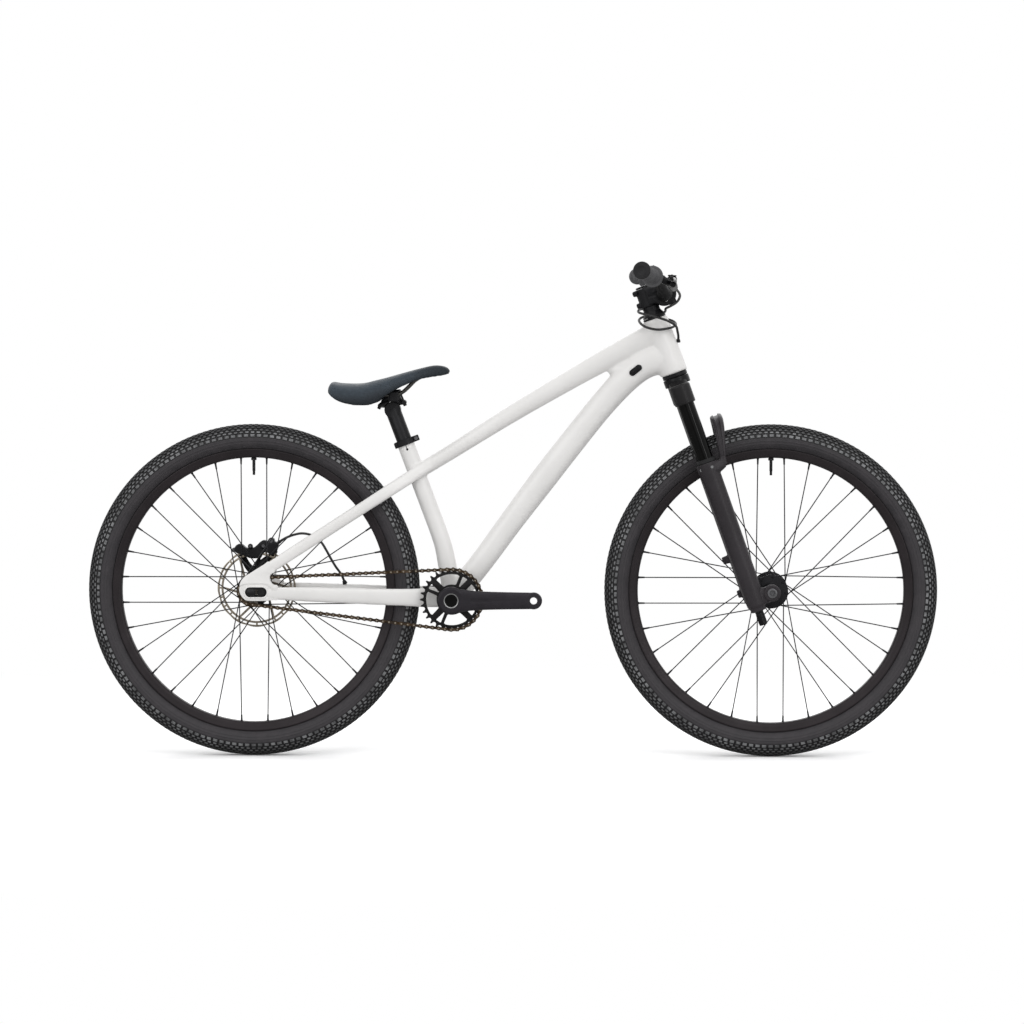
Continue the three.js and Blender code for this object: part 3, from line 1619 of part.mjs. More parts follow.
piece(seat, 'seat_collar', collarBody(), 'satinBlack');
const lowerCup = headsetCup(cup.lowerRadius, cup.height);
const upperCup = headsetCup(cup.upperRadius, cup.upperHeight).rotateX(Math.PI).translate(0, 0, headTube.length);
piece(steering, 'headset_cup_lower', lowerCup, 'satinBlack');
piece(steering, 'headset_cup_upper', upperCup, 'satinBlack');

// The wheels
wheelGroup(
  'front',
  frontX,
  frontHubBody(),
  frontHub.flangeRadius,
  frontHub.flangeOffset,
  frontHub.flangeOffset,
);
const rearWheel = wheelGroup(
  'rear',
  rearX,
  rearHubBody(),
  rearHub.flangeRadius,
  rearHub.rightOffset,
  rearHub.leftOffset,
);
piece(rearWheel, 'rear_rotor', rotorBody(), 'steel');
piece(rearWheel, 'rear_axle', rearAxleBody(), 'satinBlack');
piece(rearWheel, 'rear_sprocket', cogBody(), 'satinBlack');

// The crankset
piece(drive, 'crank_arm_right', crankArm(), 'crankGrey');
piece(drive, 'crank_arm_left', crankArm().rotateZ(Math.PI), 'crankGrey');
const spindleBody = pipe(spindle.radius, spindle.boreRadius, -spindle.halfLength, spindle.halfLength, hubSteps);
piece(drive, 'crank_spindle', spindleBody, 'silver');
piece(drive, 'chainring', chainringBody(), 'satinBlack');

// The fork and the cockpit
piece(steering, 'fork_crown', crownBody(), 'forkBlack');
piece(steering, 'stanchion_right', stanchionBody().translate(0, -fork.legSpacing, 0), 'glossBlack');
piece(steering, 'stanchion_left', stanchionBody().translate(0, fork.legSpacing, 0), 'glossBlack');
piece(steering, 'fork_lowers', lowersBody(), 'forkBlack');
piece(steering, 'fork_seal_right', sealBody().translate(0, -fork.legSpacing, 0), 'rubber');
piece(steering, 'fork_seal_left', sealBody().translate(0, fork.legSpacing, 0), 'rubber');
piece(steering, 'rebound_knob', knobBody().translate(0, -fork.legSpacing, 0), 'satinBlack');
piece(steering, 'front_axle', frontAxleBody(), 'satinBlack');
piece(steering, 'headset_cover', headCoverBody(), 'satinBlack');
piece(steering, 'stem', stemBody(), 'satinBlack');
piece(steering, 'stem_faceplate', faceplateBody(), 'satinBlack');
piece(steering, 'stem_top_cap', topCapBody(), 'satinBlack');
piece(steering, 'handlebar', barBody(), 'satinBlack');
piece(steering, 'grip_right', gripBody(-1), 'gripRubber');
piece(steering, 'grip_left', gripBody(1), 'gripRubber');
piece(steering, 'brake_perch', perchBody(), 'satinBlack');
piece(steering, 'brake_lever', bladeBody(), 'satinBlack');
piece(frame, 'front_brake_hose', hoseBody(frontHoseRoute, headEnd), 'hose');

// The saddle and its post
piece(seat, 'seatpost', postBody(), 'satinBlack');
piece(frame, 'saddle_clamp', saddleClampBody(), 'satinBlack');
piece(frame, 'saddle_rails', solidTube(railStations(0), wireSides), 'steel');
piece(frame, 'saddle', saddleBody(), 'saddle');

export default bike;
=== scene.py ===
from math import acos, asin, atan2, cos, exp, pi, radians, sin

import bmesh
import bpy
import numpy as np
from mathutils import Matrix, Vector


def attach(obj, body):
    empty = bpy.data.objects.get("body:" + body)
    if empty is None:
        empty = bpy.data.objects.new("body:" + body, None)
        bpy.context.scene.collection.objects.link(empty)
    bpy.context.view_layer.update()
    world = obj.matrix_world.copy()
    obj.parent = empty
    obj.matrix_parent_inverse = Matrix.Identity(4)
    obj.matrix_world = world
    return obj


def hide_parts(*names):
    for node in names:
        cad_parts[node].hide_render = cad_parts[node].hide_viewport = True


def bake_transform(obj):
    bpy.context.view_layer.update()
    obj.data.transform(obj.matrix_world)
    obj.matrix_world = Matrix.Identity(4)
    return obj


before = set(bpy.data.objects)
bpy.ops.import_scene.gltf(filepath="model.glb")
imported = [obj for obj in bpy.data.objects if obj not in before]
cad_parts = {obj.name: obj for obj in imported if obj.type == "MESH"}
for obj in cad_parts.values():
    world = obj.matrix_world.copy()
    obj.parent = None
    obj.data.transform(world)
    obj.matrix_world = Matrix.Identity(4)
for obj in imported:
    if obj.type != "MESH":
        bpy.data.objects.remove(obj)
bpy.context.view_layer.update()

# A dirt jump bike. Shapes are drawn in millimetres and become meshes in metres.
# +X points forward, +Y to the rider's left, +Z up.

MM = 0.001
TURN = 2 * pi
X_AXIS, Y_AXIS = Vector((1, 0, 0)), Vector((0, 1, 0))
HERE = Matrix.Identity(4)


def at(x, y, z):
    return Matrix.Translation((x, y, z))


def turn(degrees, axis):
    return Matrix.Rotation(radians(degrees), 4, axis)


REAR_WHEEL = at(-522, 0, 336)
FRONT_WHEEL = at(522, 0, 336)
CRANK = at(-120, 0, 320)
STEER = at(326.7, 0, 774) @ turn(-19.6, "Y")
SEAT = at(-218.1, 0, 640.5) @ turn(-20.6, "Y")
AXLE_SPOT = at(37.06, 0, -478.14)
AXLE = STEER @ AXLE_SPOT
SIDES = (("right", -1), ("left", 1))
UPRIGHT = turn(-90, "X")

TYRE_RING = 307
CRANK_LENGTH = 165
CHAIN_SIDE = -49
RING_TEETH, RING_PITCH = 30, 60.75
COG_TEETH, COG_PITCH = 13, 26.5
LEG_SIDE = 65
BAR_MIDDLE = (34.2, 0, 157.7)

# Shapes


def skin(rings):
    """Faces between rings that have the same number of points, closed at both ends."""
    count = len(rings[0])
    points = [tuple(p) for ring in rings for p in ring]
    faces = []
    for i in range(len(rings) - 1):
        here, there = i * count, (i + 1) * count
        for j in range(count):
            k = (j + 1) % count
            faces.append((here + j, here + k, there + k, there + j))
    faces += [tuple(range(count)), tuple(range(len(points) - count, len(points)))]
    return points, faces


def joined(*shapes):
    points, faces = [], []
    for more, fresh in shapes:
        faces += [tuple(i + len(points) for i in face) for face in fresh]
        points += more
    return points, faces


def placed(shape, place):
    return [tuple(place @ Vector(p)) for p in shape[0]], shape[1]


def mirrored(shape):
    return [(x, -y, z) for x, y, z in shape[0]], shape[1]


def lathe(profile, steps=64, place=HERE):
    """Turns an outline of (radius, along) round the Y axis."""
    loop = [(max(radius, 0), along) for radius, along in profile]
    points, faces = [], []
    for i in range(steps):
        s, c = sin(TURN * i / steps), cos(TURN * i / steps)
        points += [(radius * s, along, radius * c) for radius, along in loop]
    count = len(loop)
    solid_end = loop[0][0] == 0 and loop[-1][0] == 0
    for i in range(steps):
        here, there = i * count, (i + 1) % steps * count
        for j in range(count - 1 if solid_end else count):
            k = (j + 1) % count
            faces.append((here + j, here + k, there + k, there + j))
    return placed((points, faces), place)


def lathe_up(profile, steps=64, place=HERE):
    """Turns an outline of (radius, height) round the Z axis."""
    return lathe(profile, steps, place @ turn(90, "X"))


def rod(radius, low, high, steps=64, place=HERE):
    """A plain rod about Y."""
    return lathe([(0, low), (radius, low), (radius, high), (0, high)], steps, place)


def rod_up(radius, low, high, steps=64, place=HERE):
    """A plain rod about Z."""
    return rod(radius, low, high, steps, place @ turn(90, "X"))


def both_ends(profile, steps, place):
    """The same ring at both ends of the Y axis."""
    return [lathe([(radius, along * side) for radius, along in profile], steps, place) for side in (1, -1)]


def two_sided(half):
    """A closed outline from its half, whose first and last points lie on the middle."""
    return half + [(radius, -along) for radius, along in reversed(half[1:-1])]


def disc(radius, low, high, edge=0.6, steps=48, place=HERE):
    """A short rod about Y with softened edges."""
    profile = [
        (0, low), (radius - edge, low), (radius, low + edge), (radius, high - edge), (radius - edge, high),
        (0, high),
    ]
    return lathe(profile, steps, place)


def smooth(rows, steps=8, loop=False):
    """Rows of numbers on a smooth curve through the given rows."""
    rows = np.array([list(r) for r in rows], float)
    last = len(rows)
    made = []
    for i in range(last if loop else last - 1):
        near = ((i + k) % last if loop else min(max(i + k, 0), last - 1) for k in (-1, 0, 1, 2))
        a, b, c, d = (rows[k] for k in near)
        for step in range(steps):
            t = step / steps
            bent = 2 * b + (c - a) * t + (2 * a - 5 * b + 4 * c - d) * t**2 + (3 * b - a - 3 * c + d) * t**3
            made.append(bent / 2)
    return made if loop else [*made, rows[-1]]


def loft(rows, sides=32, power=2.0, across=Y_AXIS):
    """A bar through rows of (x, y, z, width, height). Its corners square off as its power grows."""
    rings = []
    for i, row in enumerate(rows):
        before, after = rows[max(i - 1, 0)], rows[min(i + 1, len(rows) - 1)]
        along = (Vector(after[:3]) - Vector(before[:3])).normalized()
        side = (across - along * across.dot(along)).normalized()
        up = along.cross(side)
        middle = Vector(row[:3])
        ring = []
        for j in range(sides):
            c, s = cos(TURN * j / sides), sin(TURN * j / sides)
            reach = (abs(c) ** power + abs(s) ** power) ** (-1 / power)
            ring.append(middle + side * (reach * c * row[3] / 2) + up * (reach * s * row[4] / 2))
        rings.append(ring)
    return skin(rings)


def hose(path, radius, sides=12):
    """A round cord through points, whose rings turn as little as they can."""
    points = [Vector(p[:3]) for p in path]
    angles = [TURN * j / sides for j in range(sides)]
    side = None
    rings = []
    for i, middle in enumerate(points):
        along = (points[min(i + 1, len(points) - 1)] - points[max(i - 1, 0)]).normalized()
        side = along.orthogonal() if side is None else side
        side = (side - along * side.dot(along)).normalized()
        up = along.cross(side)
        rings.append([middle + (side * cos(angle) + up * sin(angle)) * radius for angle in angles])
    return skin(rings)


def block(length, width, height, x=0, y=0, z=0):
    """A box about a middle point."""
    ends = []
    for end in (x - length / 2, x + length / 2):
        corners = ((-1, -1), (1, -1), (1, 1), (-1, 1))
        ends.append([Vector((end, y + sy * width / 2, z + sz * height / 2)) for sy, sz in corners])
    return skin(ends)


def scene_object(mesh, name="work"):
    made = bpy.data.objects.new(name, mesh)
    bpy.context.scene.collection.objects.link(made)
    return made


def cleaned(mesh, distance):
    """Merges points that are nearer than a distance and turns the faces outwards."""
    work = bmesh.new()
    work.from_mesh(mesh)
    bmesh.ops.remove_doubles(work, verts=work.verts, dist=distance)
    bmesh.ops.recalc_face_normals(work, faces=work.faces)
    work.to_mesh(mesh)
    work.free()
    return mesh


def mesh_of(shape):
    """A closed mesh in metres, with doubles merged and faces pointing outwards."""
    if isinstance(shape, bpy.types.Mesh):
        return shape
    mesh = bpy.data.meshes.new("shape")
    mesh.from_pydata([(x * MM, y * MM, z * MM) for x, y, z in shape[0]], [], shape[1])
    return cleaned(mesh, 1e-6)


def evaluated(made):
    """The object's mesh with its modifiers applied. The object is then removed."""
    graph = bpy.context.evaluated_depsgraph_get()
    mesh = bpy.data.meshes.new_from_object(made.evaluated_get(graph))
    bpy.data.objects.remove(made)
    return mesh


def moved(mesh, place):
    """Moves a mesh, which is in metres, by a place in millimetres."""
    scaled = place.copy()
    scaled.translation *= MM
    mesh.transform(scaled)
    return mesh


def steered(mesh):
    """Moves a mesh that is drawn about the steering axis to that axis."""
    return moved(mesh, STEER)


def worked(shape, *modifiers):
    """A mesh after the given (type, settings) modifiers."""
    made = scene_object(mesh_of(shape))
    for kind, settings in modifiers:
        modifier = made.modifiers.new(kind.title(), kind)
        for key, value in settings.items():
            setattr(modifier, key, value)
    return evaluated(made)


def combined(shape, *others, operation="UNION"):
    """Adds solids to a solid, or takes them away from it."""
    tools = [scene_object(mesh_of(other), "tool") for other in others]
    rows = [("BOOLEAN", {"operation": operation, "solver": "MANIFOLD", "object": tool}) for tool in tools]
    made = worked(shape, *rows)
    for tool in tools:
        bpy.data.objects.remove(tool)
    return made


def carved(shape, *cutters):
    return combined(shape, *cutters, operation="DIFFERENCE")


def cast(shapes, voxel, rounds):
    """Solids fused into one skin whose inner corners are filled softly."""
    union = combined(*shapes) if len(shapes) > 1 else mesh_of(shapes[0])
    return worked(
        union,
        ("REMESH", {"mode": "VOXEL", "voxel_size": voxel * MM}),
        ("SMOOTH", {"factor": 0.5, "iterations": rounds}),
    )


def softened(shape, width, segments=2):
    """The same solid with its edges rounded."""
    settings = {
        "width": width * MM, "segments": segments, "limit_method": "ANGLE", "angle_limit": radians(35),
    }
    return worked(shape, ("BEVEL", settings))


def polar(radius, angle, x=0.0, z=0.0):
    return (x + radius * cos(angle), z + radius * sin(angle))


def round_hole(radius, x=0.0, z=0.0, steps=32):
    return [polar(radius, TURN * i / steps, x, z) for i in range(steps)]


def slot_hole(length, height, x=0.0):
    """A slot with round ends."""
    radius = height / 2
    points = []
    for i in range(24):
        angle = TURN * (i + 0.5) / 24 - pi / 2
        shift = (length / 2 - radius) * (1 if i < 12 else -1)
        points.append((x + (radius * cos(angle) + shift), radius * sin(angle)))
    return points


def plate(outline, holes, thickness, middle=0.0, edge=0.5, place=HERE):
    """A flat plate drawn in X and Z, with holes, a softened edge and its middle at the given Y."""
    curve = bpy.data.curves.new("outline", "CURVE")
    curve.dimensions, curve.fill_mode = "2D", "BOTH"
    curve.extrude = (thickness / 2 - edge) * MM
    curve.bevel_depth, curve.bevel_resolution, curve.offset = edge * MM, 1, -edge * MM
    for points in (outline, *holes):
        spline = curve.splines.new("POLY")
        spline.points.add(len(points) - 1)
        spline.use_cyclic_u = True
        for point, (x, z) in zip(spline.points, points):
            point.co = (x * MM, z * MM, 0, 1)
    mesh = evaluated(scene_object(curve))
    bpy.data.curves.remove(curve)
    scaled = place.copy()
    scaled.translation *= MM
    mesh.transform(scaled @ Matrix.Translation((0, middle * MM, 0)) @ turn(90, "X"))
    return cleaned(mesh, 2e-6)


def gathered(*shapes):
    """Several shapes as one mesh."""
    work = bmesh.new()
    for shape in shapes:
        work.from_mesh(mesh_of(shape))
    mesh = bpy.data.meshes.new("gathered")
    work.to_mesh(mesh)
    work.free()
    return mesh


def outwards(side):
    """Turns what stands along -Y to stand away from the middle on its own side."""
    return turn(0 if side < 0 else 180, "Z")


def cap_screw(radius, place=HERE, height=None):
    """A socket cap screw whose head stands along -Y, from the origin outwards."""
    tall = height or radius
    key = radius * 0.52
    profile = [
        (0, 1), (radius, 1), (radius, -tall + radius * 0.16), (radius * 0.84, -tall),
        (key, -tall), (key * 0.96, -tall * 0.3), (0, -tall * 0.3),
    ]
    return lathe(profile, 18, place)


def part(name, shape, body, finish, nodes=(), angle=32):
    """A finished piece that rides on a body and stands for the given CAD nodes."""
    mesh = mesh_of(shape)
    if name in nodes:
        name += "_finished"
    mesh.name = name
    mesh.materials.clear()
    mesh.materials.append(finish)
    mesh.shade_smooth()
    mesh.set_sharp_from_angle(angle=radians(angle))
    made = scene_object(mesh, name)
    if body:
        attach(made, body)
    if nodes:
        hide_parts(*nodes)
    return made


def stand_in(name, shape, body, finish, angle=32):
    """A finished piece for the CAD node of the same name."""
    return part(name, shape, body, finish, [name], angle)


# Node trees


class Wire:
    """A socket's value, which arithmetic carries on in the same tree."""

    def __init__(self, graph, socket):
        self.graph, self.socket = graph, socket

    def __add__(self, other):
        return self.graph.math("ADD", self, other)

    def __sub__(self, other):
        return self.graph.math("SUBTRACT", self, other)

    def __rsub__(self, other):
        return self.graph.math("SUBTRACT", other, self)

    def __mul__(self, other):
        return self.graph.math("MULTIPLY", self, other)

    def __truediv__(self, other):
        return self.graph.math("DIVIDE", self, other)

    __radd__, __rmul__ = __add__, __mul__


class Graph:
    """A node tree that is written as expressions."""

    def __init__(self, tree):
        self.tree = tree
        tree.nodes.clear()

    def node(self, kind, settings=None, values=None, output=0):
        made = self.tree.nodes.new(kind)
        for key, value in (settings or {}).items():
            setattr(made, key, value)
        for key, value in (values or {}).items():
            socket = made.inputs[key]
            if isinstance(value, Wire):
                self.tree.links.new(value.socket, socket)
            else:
                socket.default_value = value
        return Wire(self, made.outputs[output] if len(made.outputs) else None)

    def math(self, operation, *values):
        return self.node("ShaderNodeMath", {"operation": operation}, dict(enumerate(values)))

    def vector(self, x, y, z):
        return self.node("ShaderNodeCombineXYZ", None, {0: x, 1: y, 2: z})

    def on_circle(self, radius, angle, along):
        """A point at a radius and an angle round the Y axis."""
        return self.vector(radius * self.math("SINE", angle), along, radius * self.math("COSINE", angle))

    def axes(self, value):
        """The three numbers of a vector."""
        first = self.node("ShaderNodeSeparateXYZ", None, {0: value})
        return [Wire(self, socket) for socket in first.socket.node.outputs]

    def place(self, centre=(0, 0, 0)):
        """Object coordinates in metres about a centre."""
        here = self.node("ShaderNodeTexCoord", output="Object")
        return self.node("ShaderNodeVectorMath", {"operation": "SUBTRACT"}, {0: here, 1: centre})

    def noise(self, place, scale, detail=3.0, rough=0.5):
        values = {"Vector": place, "Scale": scale, "Detail": detail, "Roughness": rough}
        return self.node("ShaderNodeTexNoise", None, values)

    def cells(self, place, scale, feature="F1"):
        return self.node(
            "ShaderNodeTexVoronoi", {"feature": feature}, {"Vector": place, "Scale": scale}, "Distance",
        )

    def fade(self, value, low, high, start=0.0, end=1.0):
        """The value's range from low to high, turned into start to end."""
        settings = {"clamp": True, "interpolation_type": "SMOOTHSTEP"}
        return self.node("ShaderNodeMapRange", settings, {0: value, 1: low, 2: high, 3: start, 4: end})

    def blend(self, factor, first, second):
        return self.node("ShaderNodeMix", {"data_type": "RGBA"}, {0: factor, 6: first, 7: second}, 2)

    def surface(self, values, bump=None):
        """The material's shader. The bump is its height, strength and distance in metres."""
        if bump:
            height, strength, distance = bump
            given = {"Height": height, "Strength": strength, "Distance": distance}
            values = {**values, "Normal": self.node("ShaderNodeBump", None, given)}
        shader = self.node("ShaderNodeBsdfPrincipled", None, values)
        self.node("ShaderNodeOutputMaterial", None, {"Surface": shader})


def finish(name):
    made = bpy.data.materials.new(name)
    made.use_nodes = True
    return made, Graph(made.node_tree)


def tinted(red, green, blue):
    """A colour given in the usual 0 to 255 steps."""
    return tuple(((c / 255) ** 2.2) for c in (red, green, blue)) + (1,)


# Finishes


def frame_paint():
    made, g = finish("white_paint")
    here = g.place()
    cloud = g.noise(here, 9, 3)
    peel = g.noise(here, 620, 2)
    colour = g.blend(g.fade(cloud, 0.35, 0.65), tinted(232, 231, 230), tinted(237, 236, 235))
    g.surface(
        {
            "Base Color": colour,
            "Roughness": g.fade(g.noise(here, 40, 4), 0.3, 0.7, 0.3, 0.4),
            "Coat Weight": 0.3,
            "Coat Roughness": 0.16,
            "Specular IOR Level": 0.4,
        },
        (peel, 0.03, 0.00012),
    )
    return made


def tyre_rubber(name, centre, tread):
    made, g = finish(name)
    here = g.place(centre)
    x, y, z = g.axes(here)
    radius = g.math("SQRT", x * x + z * z)
    angle = g.math("ARCTAN2", x, z)
    dust = g.noise(here, 60, 6, 0.62)
    grain = g.noise(here, 900, 3)
    if tread:
        arc = radius - TYRE_RING * MM
        # Painted highlight and wear: the top of each block is painted lighter, partly as wear and partly as a
        # highlight, and its sides get the dark colour as painted shade.
        lit_worn_tops = g.fade(g.math("SQRT", arc * arc + y * y), 0.0279, 0.0287)
        # Painted light: the rows towards the shoulders are painted brighter than the middle rows, as if they
        # catch more light.
        outer = g.fade(g.math("ABSOLUTE", y), 0.0205, 0.0235, 0.3, 1.0)
        colour = g.blend(
            lit_worn_tops * outer * g.fade(dust, 0.35, 0.65, 0.3, 1.0), tinted(26, 26, 27), tinted(128, 129, 131),
        )
        height = grain
        rough = g.fade(dust, 0.3, 0.7, 0.5, 0.68)
    else:
        shade = g.blend(g.fade(dust, 0.3, 0.75), tinted(50, 48, 51), tinted(62, 59, 62))
        # Painted shade: the casing is painted dark where it meets the rim and between the tread blocks.
        painted_gap_shade = g.fade(radius, 0.288, 0.2865) + g.fade(radius, 0.3085, 0.3105)
        colour = g.blend(painted_gap_shade, shade, tinted(27, 26, 28))
        ribs = g.fade(g.math("SINE", angle * 1500), -0.2, 0.9)
        band = g.fade(radius, 0.2885, 0.2905) * g.fade(radius, 0.2965, 0.2945)
        height = grain * 0.5 + ribs * band * 0.35
        rough = g.fade(dust, 0.3, 0.7, 0.56, 0.7)
    g.surface({"Base Color": colour, "Roughness": rough, "Specular IOR Level": 0.42}, (height, 0.4, 0.00025))
    return made


def satin_black(name, colour, low, high, scale=240.0, metallic=0.0, peel=0.2, shine=0.22):
    """A painted or anodised dark finish with a fine uneven sheen."""
    made, g = finish(name)
    here = g.place()
    fine = g.noise(here, scale * 4, 3)
    broad = g.noise(here, scale / 12, 4, 0.6)
    lifted = tuple(min(c * 1.3 + 0.002, 1) for c in colour[:3]) + (1,)
    g.surface(
        {
            "Base Color": g.blend(g.fade(broad, 0.35, 0.7), colour, lifted),
            "Roughness": g.fade(g.noise(here, scale, 5, 0.6), 0.25, 0.75, low, high),
            "Metallic": metallic,
            "Specular IOR Level": shine,
        },
        (fine, peel, 0.0001),
    )
    return made


def turned_metal(name, colour, centre, low=0.22, high=0.36):
    """A metal with fine rings about the Y axis through its centre, as a lathe or a brush leaves them."""
    made, g = finish(name)
    here = g.place(centre)
    x, y, z = g.axes(here)
    radius = g.math("SQRT", x * x + z * z)
    rings = g.noise(g.vector(radius, y * 0.6, 0), 1500, 3)
    marks = g.noise(here, 70, 5, 0.65)
    stained = tuple(c * 0.72 for c in colour[:3]) + (1,)
    g.surface(
        {
            "Base Color": g.blend(g.fade(marks, 0.42, 0.72), colour, stained),
            "Roughness": g.fade(rings * 0.6 + marks * 0.4, 0.3, 0.7, low, high),
            "Metallic": 1.0,
        },
        (rings, 0.25, 0.00008),
    )
    return made


def chain_metal(name, low, high, stain):
    """Oily chain steel whose pin heads, the outermost faces, are rubbed bright."""
    made, g = finish(name)
    here = g.place()
    pins = g.fade(g.math("ABSOLUTE", g.axes(here)[1] + 0.049), 0.0036, 0.00375)
    film = g.noise(here, 150, 5, 0.65)
    grime = g.noise(here, 38, 4, 0.6)
    bare = g.blend(g.fade(film, 0.35, 0.65), tinted(*low), tinted(*high))
    colour = g.blend(pins, g.blend(g.fade(grime, 0.48, 0.7), bare, tinted(*stain)), tinted(150, 141, 128))
    g.surface(
        {
            "Base Color": colour,
            "Roughness": g.fade(film, 0.3, 0.7, 0.3, 0.5),
            "Metallic": g.fade(grime, 0.5, 0.75, 0.95, 0.55),
        },
        (g.noise(here, 700, 2), 0.2, 0.0001),
    )
    return made


def soft_grip():
    made, g = finish("grip_rubber")
    here = g.place()
    pores = g.cells(here, 900)
    shade = g.noise(here, 45, 4, 0.6)
    g.surface(
        {
            "Base Color": g.blend(g.fade(shade, 0.3, 0.7), tinted(72, 72, 74), tinted(92, 92, 94)),
            "Roughness": g.fade(shade, 0.3, 0.7, 0.62, 0.75),
            "Specular IOR Level": 0.35,
        },
        (pores, 0.35, 0.0003),
    )
    return made


def saddle_cover():
    made, g = finish("saddle_cover")
    here = g.place()
    cells = g.cells(here, 620, "DISTANCE_TO_EDGE")
    # The creases of the grain are bumped, and they are also painted dark as painted shade.
    crease = g.fade(cells, 0.0, 0.16)
    shade = g.noise(here, 22, 4, 0.6)
    top = g.blend(g.fade(shade, 0.3, 0.7), tinted(62, 71, 80), tinted(74, 84, 93))
    along, _across, height = g.axes(here)
    # Painted shade: the cover is painted dark below a line that rises towards the nose, so the top keeps the
    # lighter colour as if lit from above.
    shade_line = g.math("MAXIMUM", along + 0.3, 0.0) * 0.33
    above_shade_line = height - (shade_line + 0.709)
    dark = tinted(32, 36, 41)
    cover = g.blend(g.fade(above_shade_line, 0.0, 0.036), dark, top)
    # Painted shade: the nose is painted darker.
    cover = g.blend(g.fade(along, -0.225, -0.15, 0.0, 0.8), cover, tinted(34, 40, 45))
    g.surface(
        {
            # Painted shade in the creases of the grain.
            "Base Color": g.blend(crease, dark, cover),
            "Roughness": g.fade(shade, 0.3, 0.7, 0.4, 0.52),
            "Specular IOR Level": 0.2,
        },
        (crease, 0.3, 0.0002),
    )
    return made


def hose_plastic():
    made, g = finish("hose_plastic")
    here = g.place()
    g.surface(
        {
            "Base Color": g.blend(g.noise(here, 60, 3), tinted(22, 22, 23), tinted(32, 32, 33)),
            "Roughness": g.fade(g.noise(here, 300, 3), 0.3, 0.7, 0.3, 0.44),
        },
        (g.noise(here, 1200, 2), 0.15, 0.0001),
    )
    return made


white_paint = frame_paint()
rubber, tread_rubber = {}, {}
for end, middle in (("rear", (-0.522, 0, 0.336)), ("front", (0.522, 0, 0.336))):
    rubber[end] = tyre_rubber(end + "_sidewall_rubber", middle, False)
    tread_rubber[end] = tyre_rubber(end + "_tread_rubber", middle, True)
rim_black = satin_black("rim_black", tinted(42, 38, 40), 0.34, 0.46, 160, 0.2)
spoke_black = satin_black("spoke_black", tinted(40, 40, 42), 0.25, 0.4, 500, 0.7)
hub_black = satin_black("hub_black", tinted(36, 36, 38), 0.28, 0.4, 300, 0.5)
fork_paint = satin_black("fork_paint", tinted(46, 43, 46), 0.36, 0.46, 200, peel=0.3, shine=0.25)
crown_paint = satin_black("crown_paint", tinted(28, 27, 28), 0.34, 0.44, 220, peel=0.3)
stanchion_black = satin_black("stanchion_black", tinted(6, 6, 6), 0.05, 0.1, 300, peel=0.05, shine=0.14)
black_alloy = satin_black("black_alloy", tinted(28, 28, 30), 0.32, 0.44, 260, 0.2)
bar_black = satin_black("bar_black", tinted(24, 24, 25), 0.5, 0.62, 260, shine=0.06)
bright_black = satin_black("bright_black", tinted(22, 22, 24), 0.18, 0.3, 260, 0.2, 0.15)
crank_grey = satin_black("crank_grey", tinted(44, 42, 46), 0.34, 0.46, 240, 0.3)
ring_black = satin_black("ring_black", tinted(26, 25, 26), 0.3, 0.44, 260, 0.2)
seal_rubber = satin_black("seal_rubber", tinted(34, 34, 35), 0.55, 0.68, 500, peel=0.4)
rotor_steel = turned_metal("rotor_steel", tinted(148, 139, 126), (-0.522, 0.052, 0.336), low=0.26, high=0.4)
drive_steel = turned_metal("drive_steel", tinted(96, 92, 86), (-0.522, -0.049, 0.336))
bright_steel = turned_metal("bright_steel", tinted(150, 150, 150), (-0.12, 0, 0.32), low=0.16, high=0.3)
bolt_steel = satin_black("bolt_steel", tinted(138, 139, 140), 0.2, 0.34, 300, 1.0, 0.1)
dark_bolt = satin_black("dark_bolt", tinted(44, 44, 45), 0.26, 0.4, 400, 0.6, 0.1)
# A mid grey; on the front axle it is partly a painted highlight, lighter to stand in for the light that
# catches the axle's end ring.
axle_grey = satin_black("axle_grey", tinted(96, 96, 98), 0.26, 0.4, 400, 0.6, 0.1)
chain_bronze = chain_metal("chain_bronze", (62, 53, 45), (92, 79, 66), (40, 34, 29))
chain_dark = chain_metal("chain_dark", (46, 37, 28), (72, 58, 42), (30, 25, 20))
grip_rubber = soft_grip()
slate_cover = saddle_cover()
hose_black = hose_plastic()

# Geometry trees


def tree_inputs(name, rows):
    """A geometry tree with named inputs, given as name and socket type."""
    tree = bpy.data.node_groups.new(name, "GeometryNodeTree")
    graph = Graph(tree)
    for label, kind in rows:
        tree.interface.new_socket(label, in_out="INPUT", socket_type="NodeSocket" + kind)
    tree.interface.new_socket("Geometry", in_out="OUTPUT", socket_type="NodeSocketGeometry")
    given = tree.nodes.new("NodeGroupInput")
    return graph, {label: Wire(graph, given.outputs[label]) for label, _kind in rows}


def tree_end(graph, instances, material):
    """Closes a tree with real geometry that has its material."""
    real = graph.node("GeometryNodeRealizeInstances", None, {0: instances})
    done = graph.node("GeometryNodeSetMaterial", None, {"Geometry": real, "Material": material})
    ending = graph.tree.nodes.new("NodeGroupOutput")
    graph.tree.links.new(done.socket, ending.inputs[0])
    return graph.tree


def spots(graph, count, position):
    """Vertices at computed positions."""
    points = graph.node("GeometryNodePoints", None, {"Count": count, "Position": position})
    return graph.node("GeometryNodePointsToVertices", None, {"Points": points})


def object_geometry(graph, piece):
    return graph.node("GeometryNodeObjectInfo", None, {"Object": piece}, "Geometry")


def instanced(graph, points, piece, euler=None, scale=None, selection=None, rotation=None):
    values = {"Points": points, "Instance": object_geometry(graph, piece)}
    if euler is not None:
        rotation = graph.node("FunctionNodeEulerToRotation", None, {0: euler})
    if rotation is not None:
        values["Rotation"] = rotation
    if scale is not None:
        values["Scale"] = scale
    if selection is not None:
        values["Selection"] = selection
    return graph.node("GeometryNodeInstanceOnPoints", None, values)


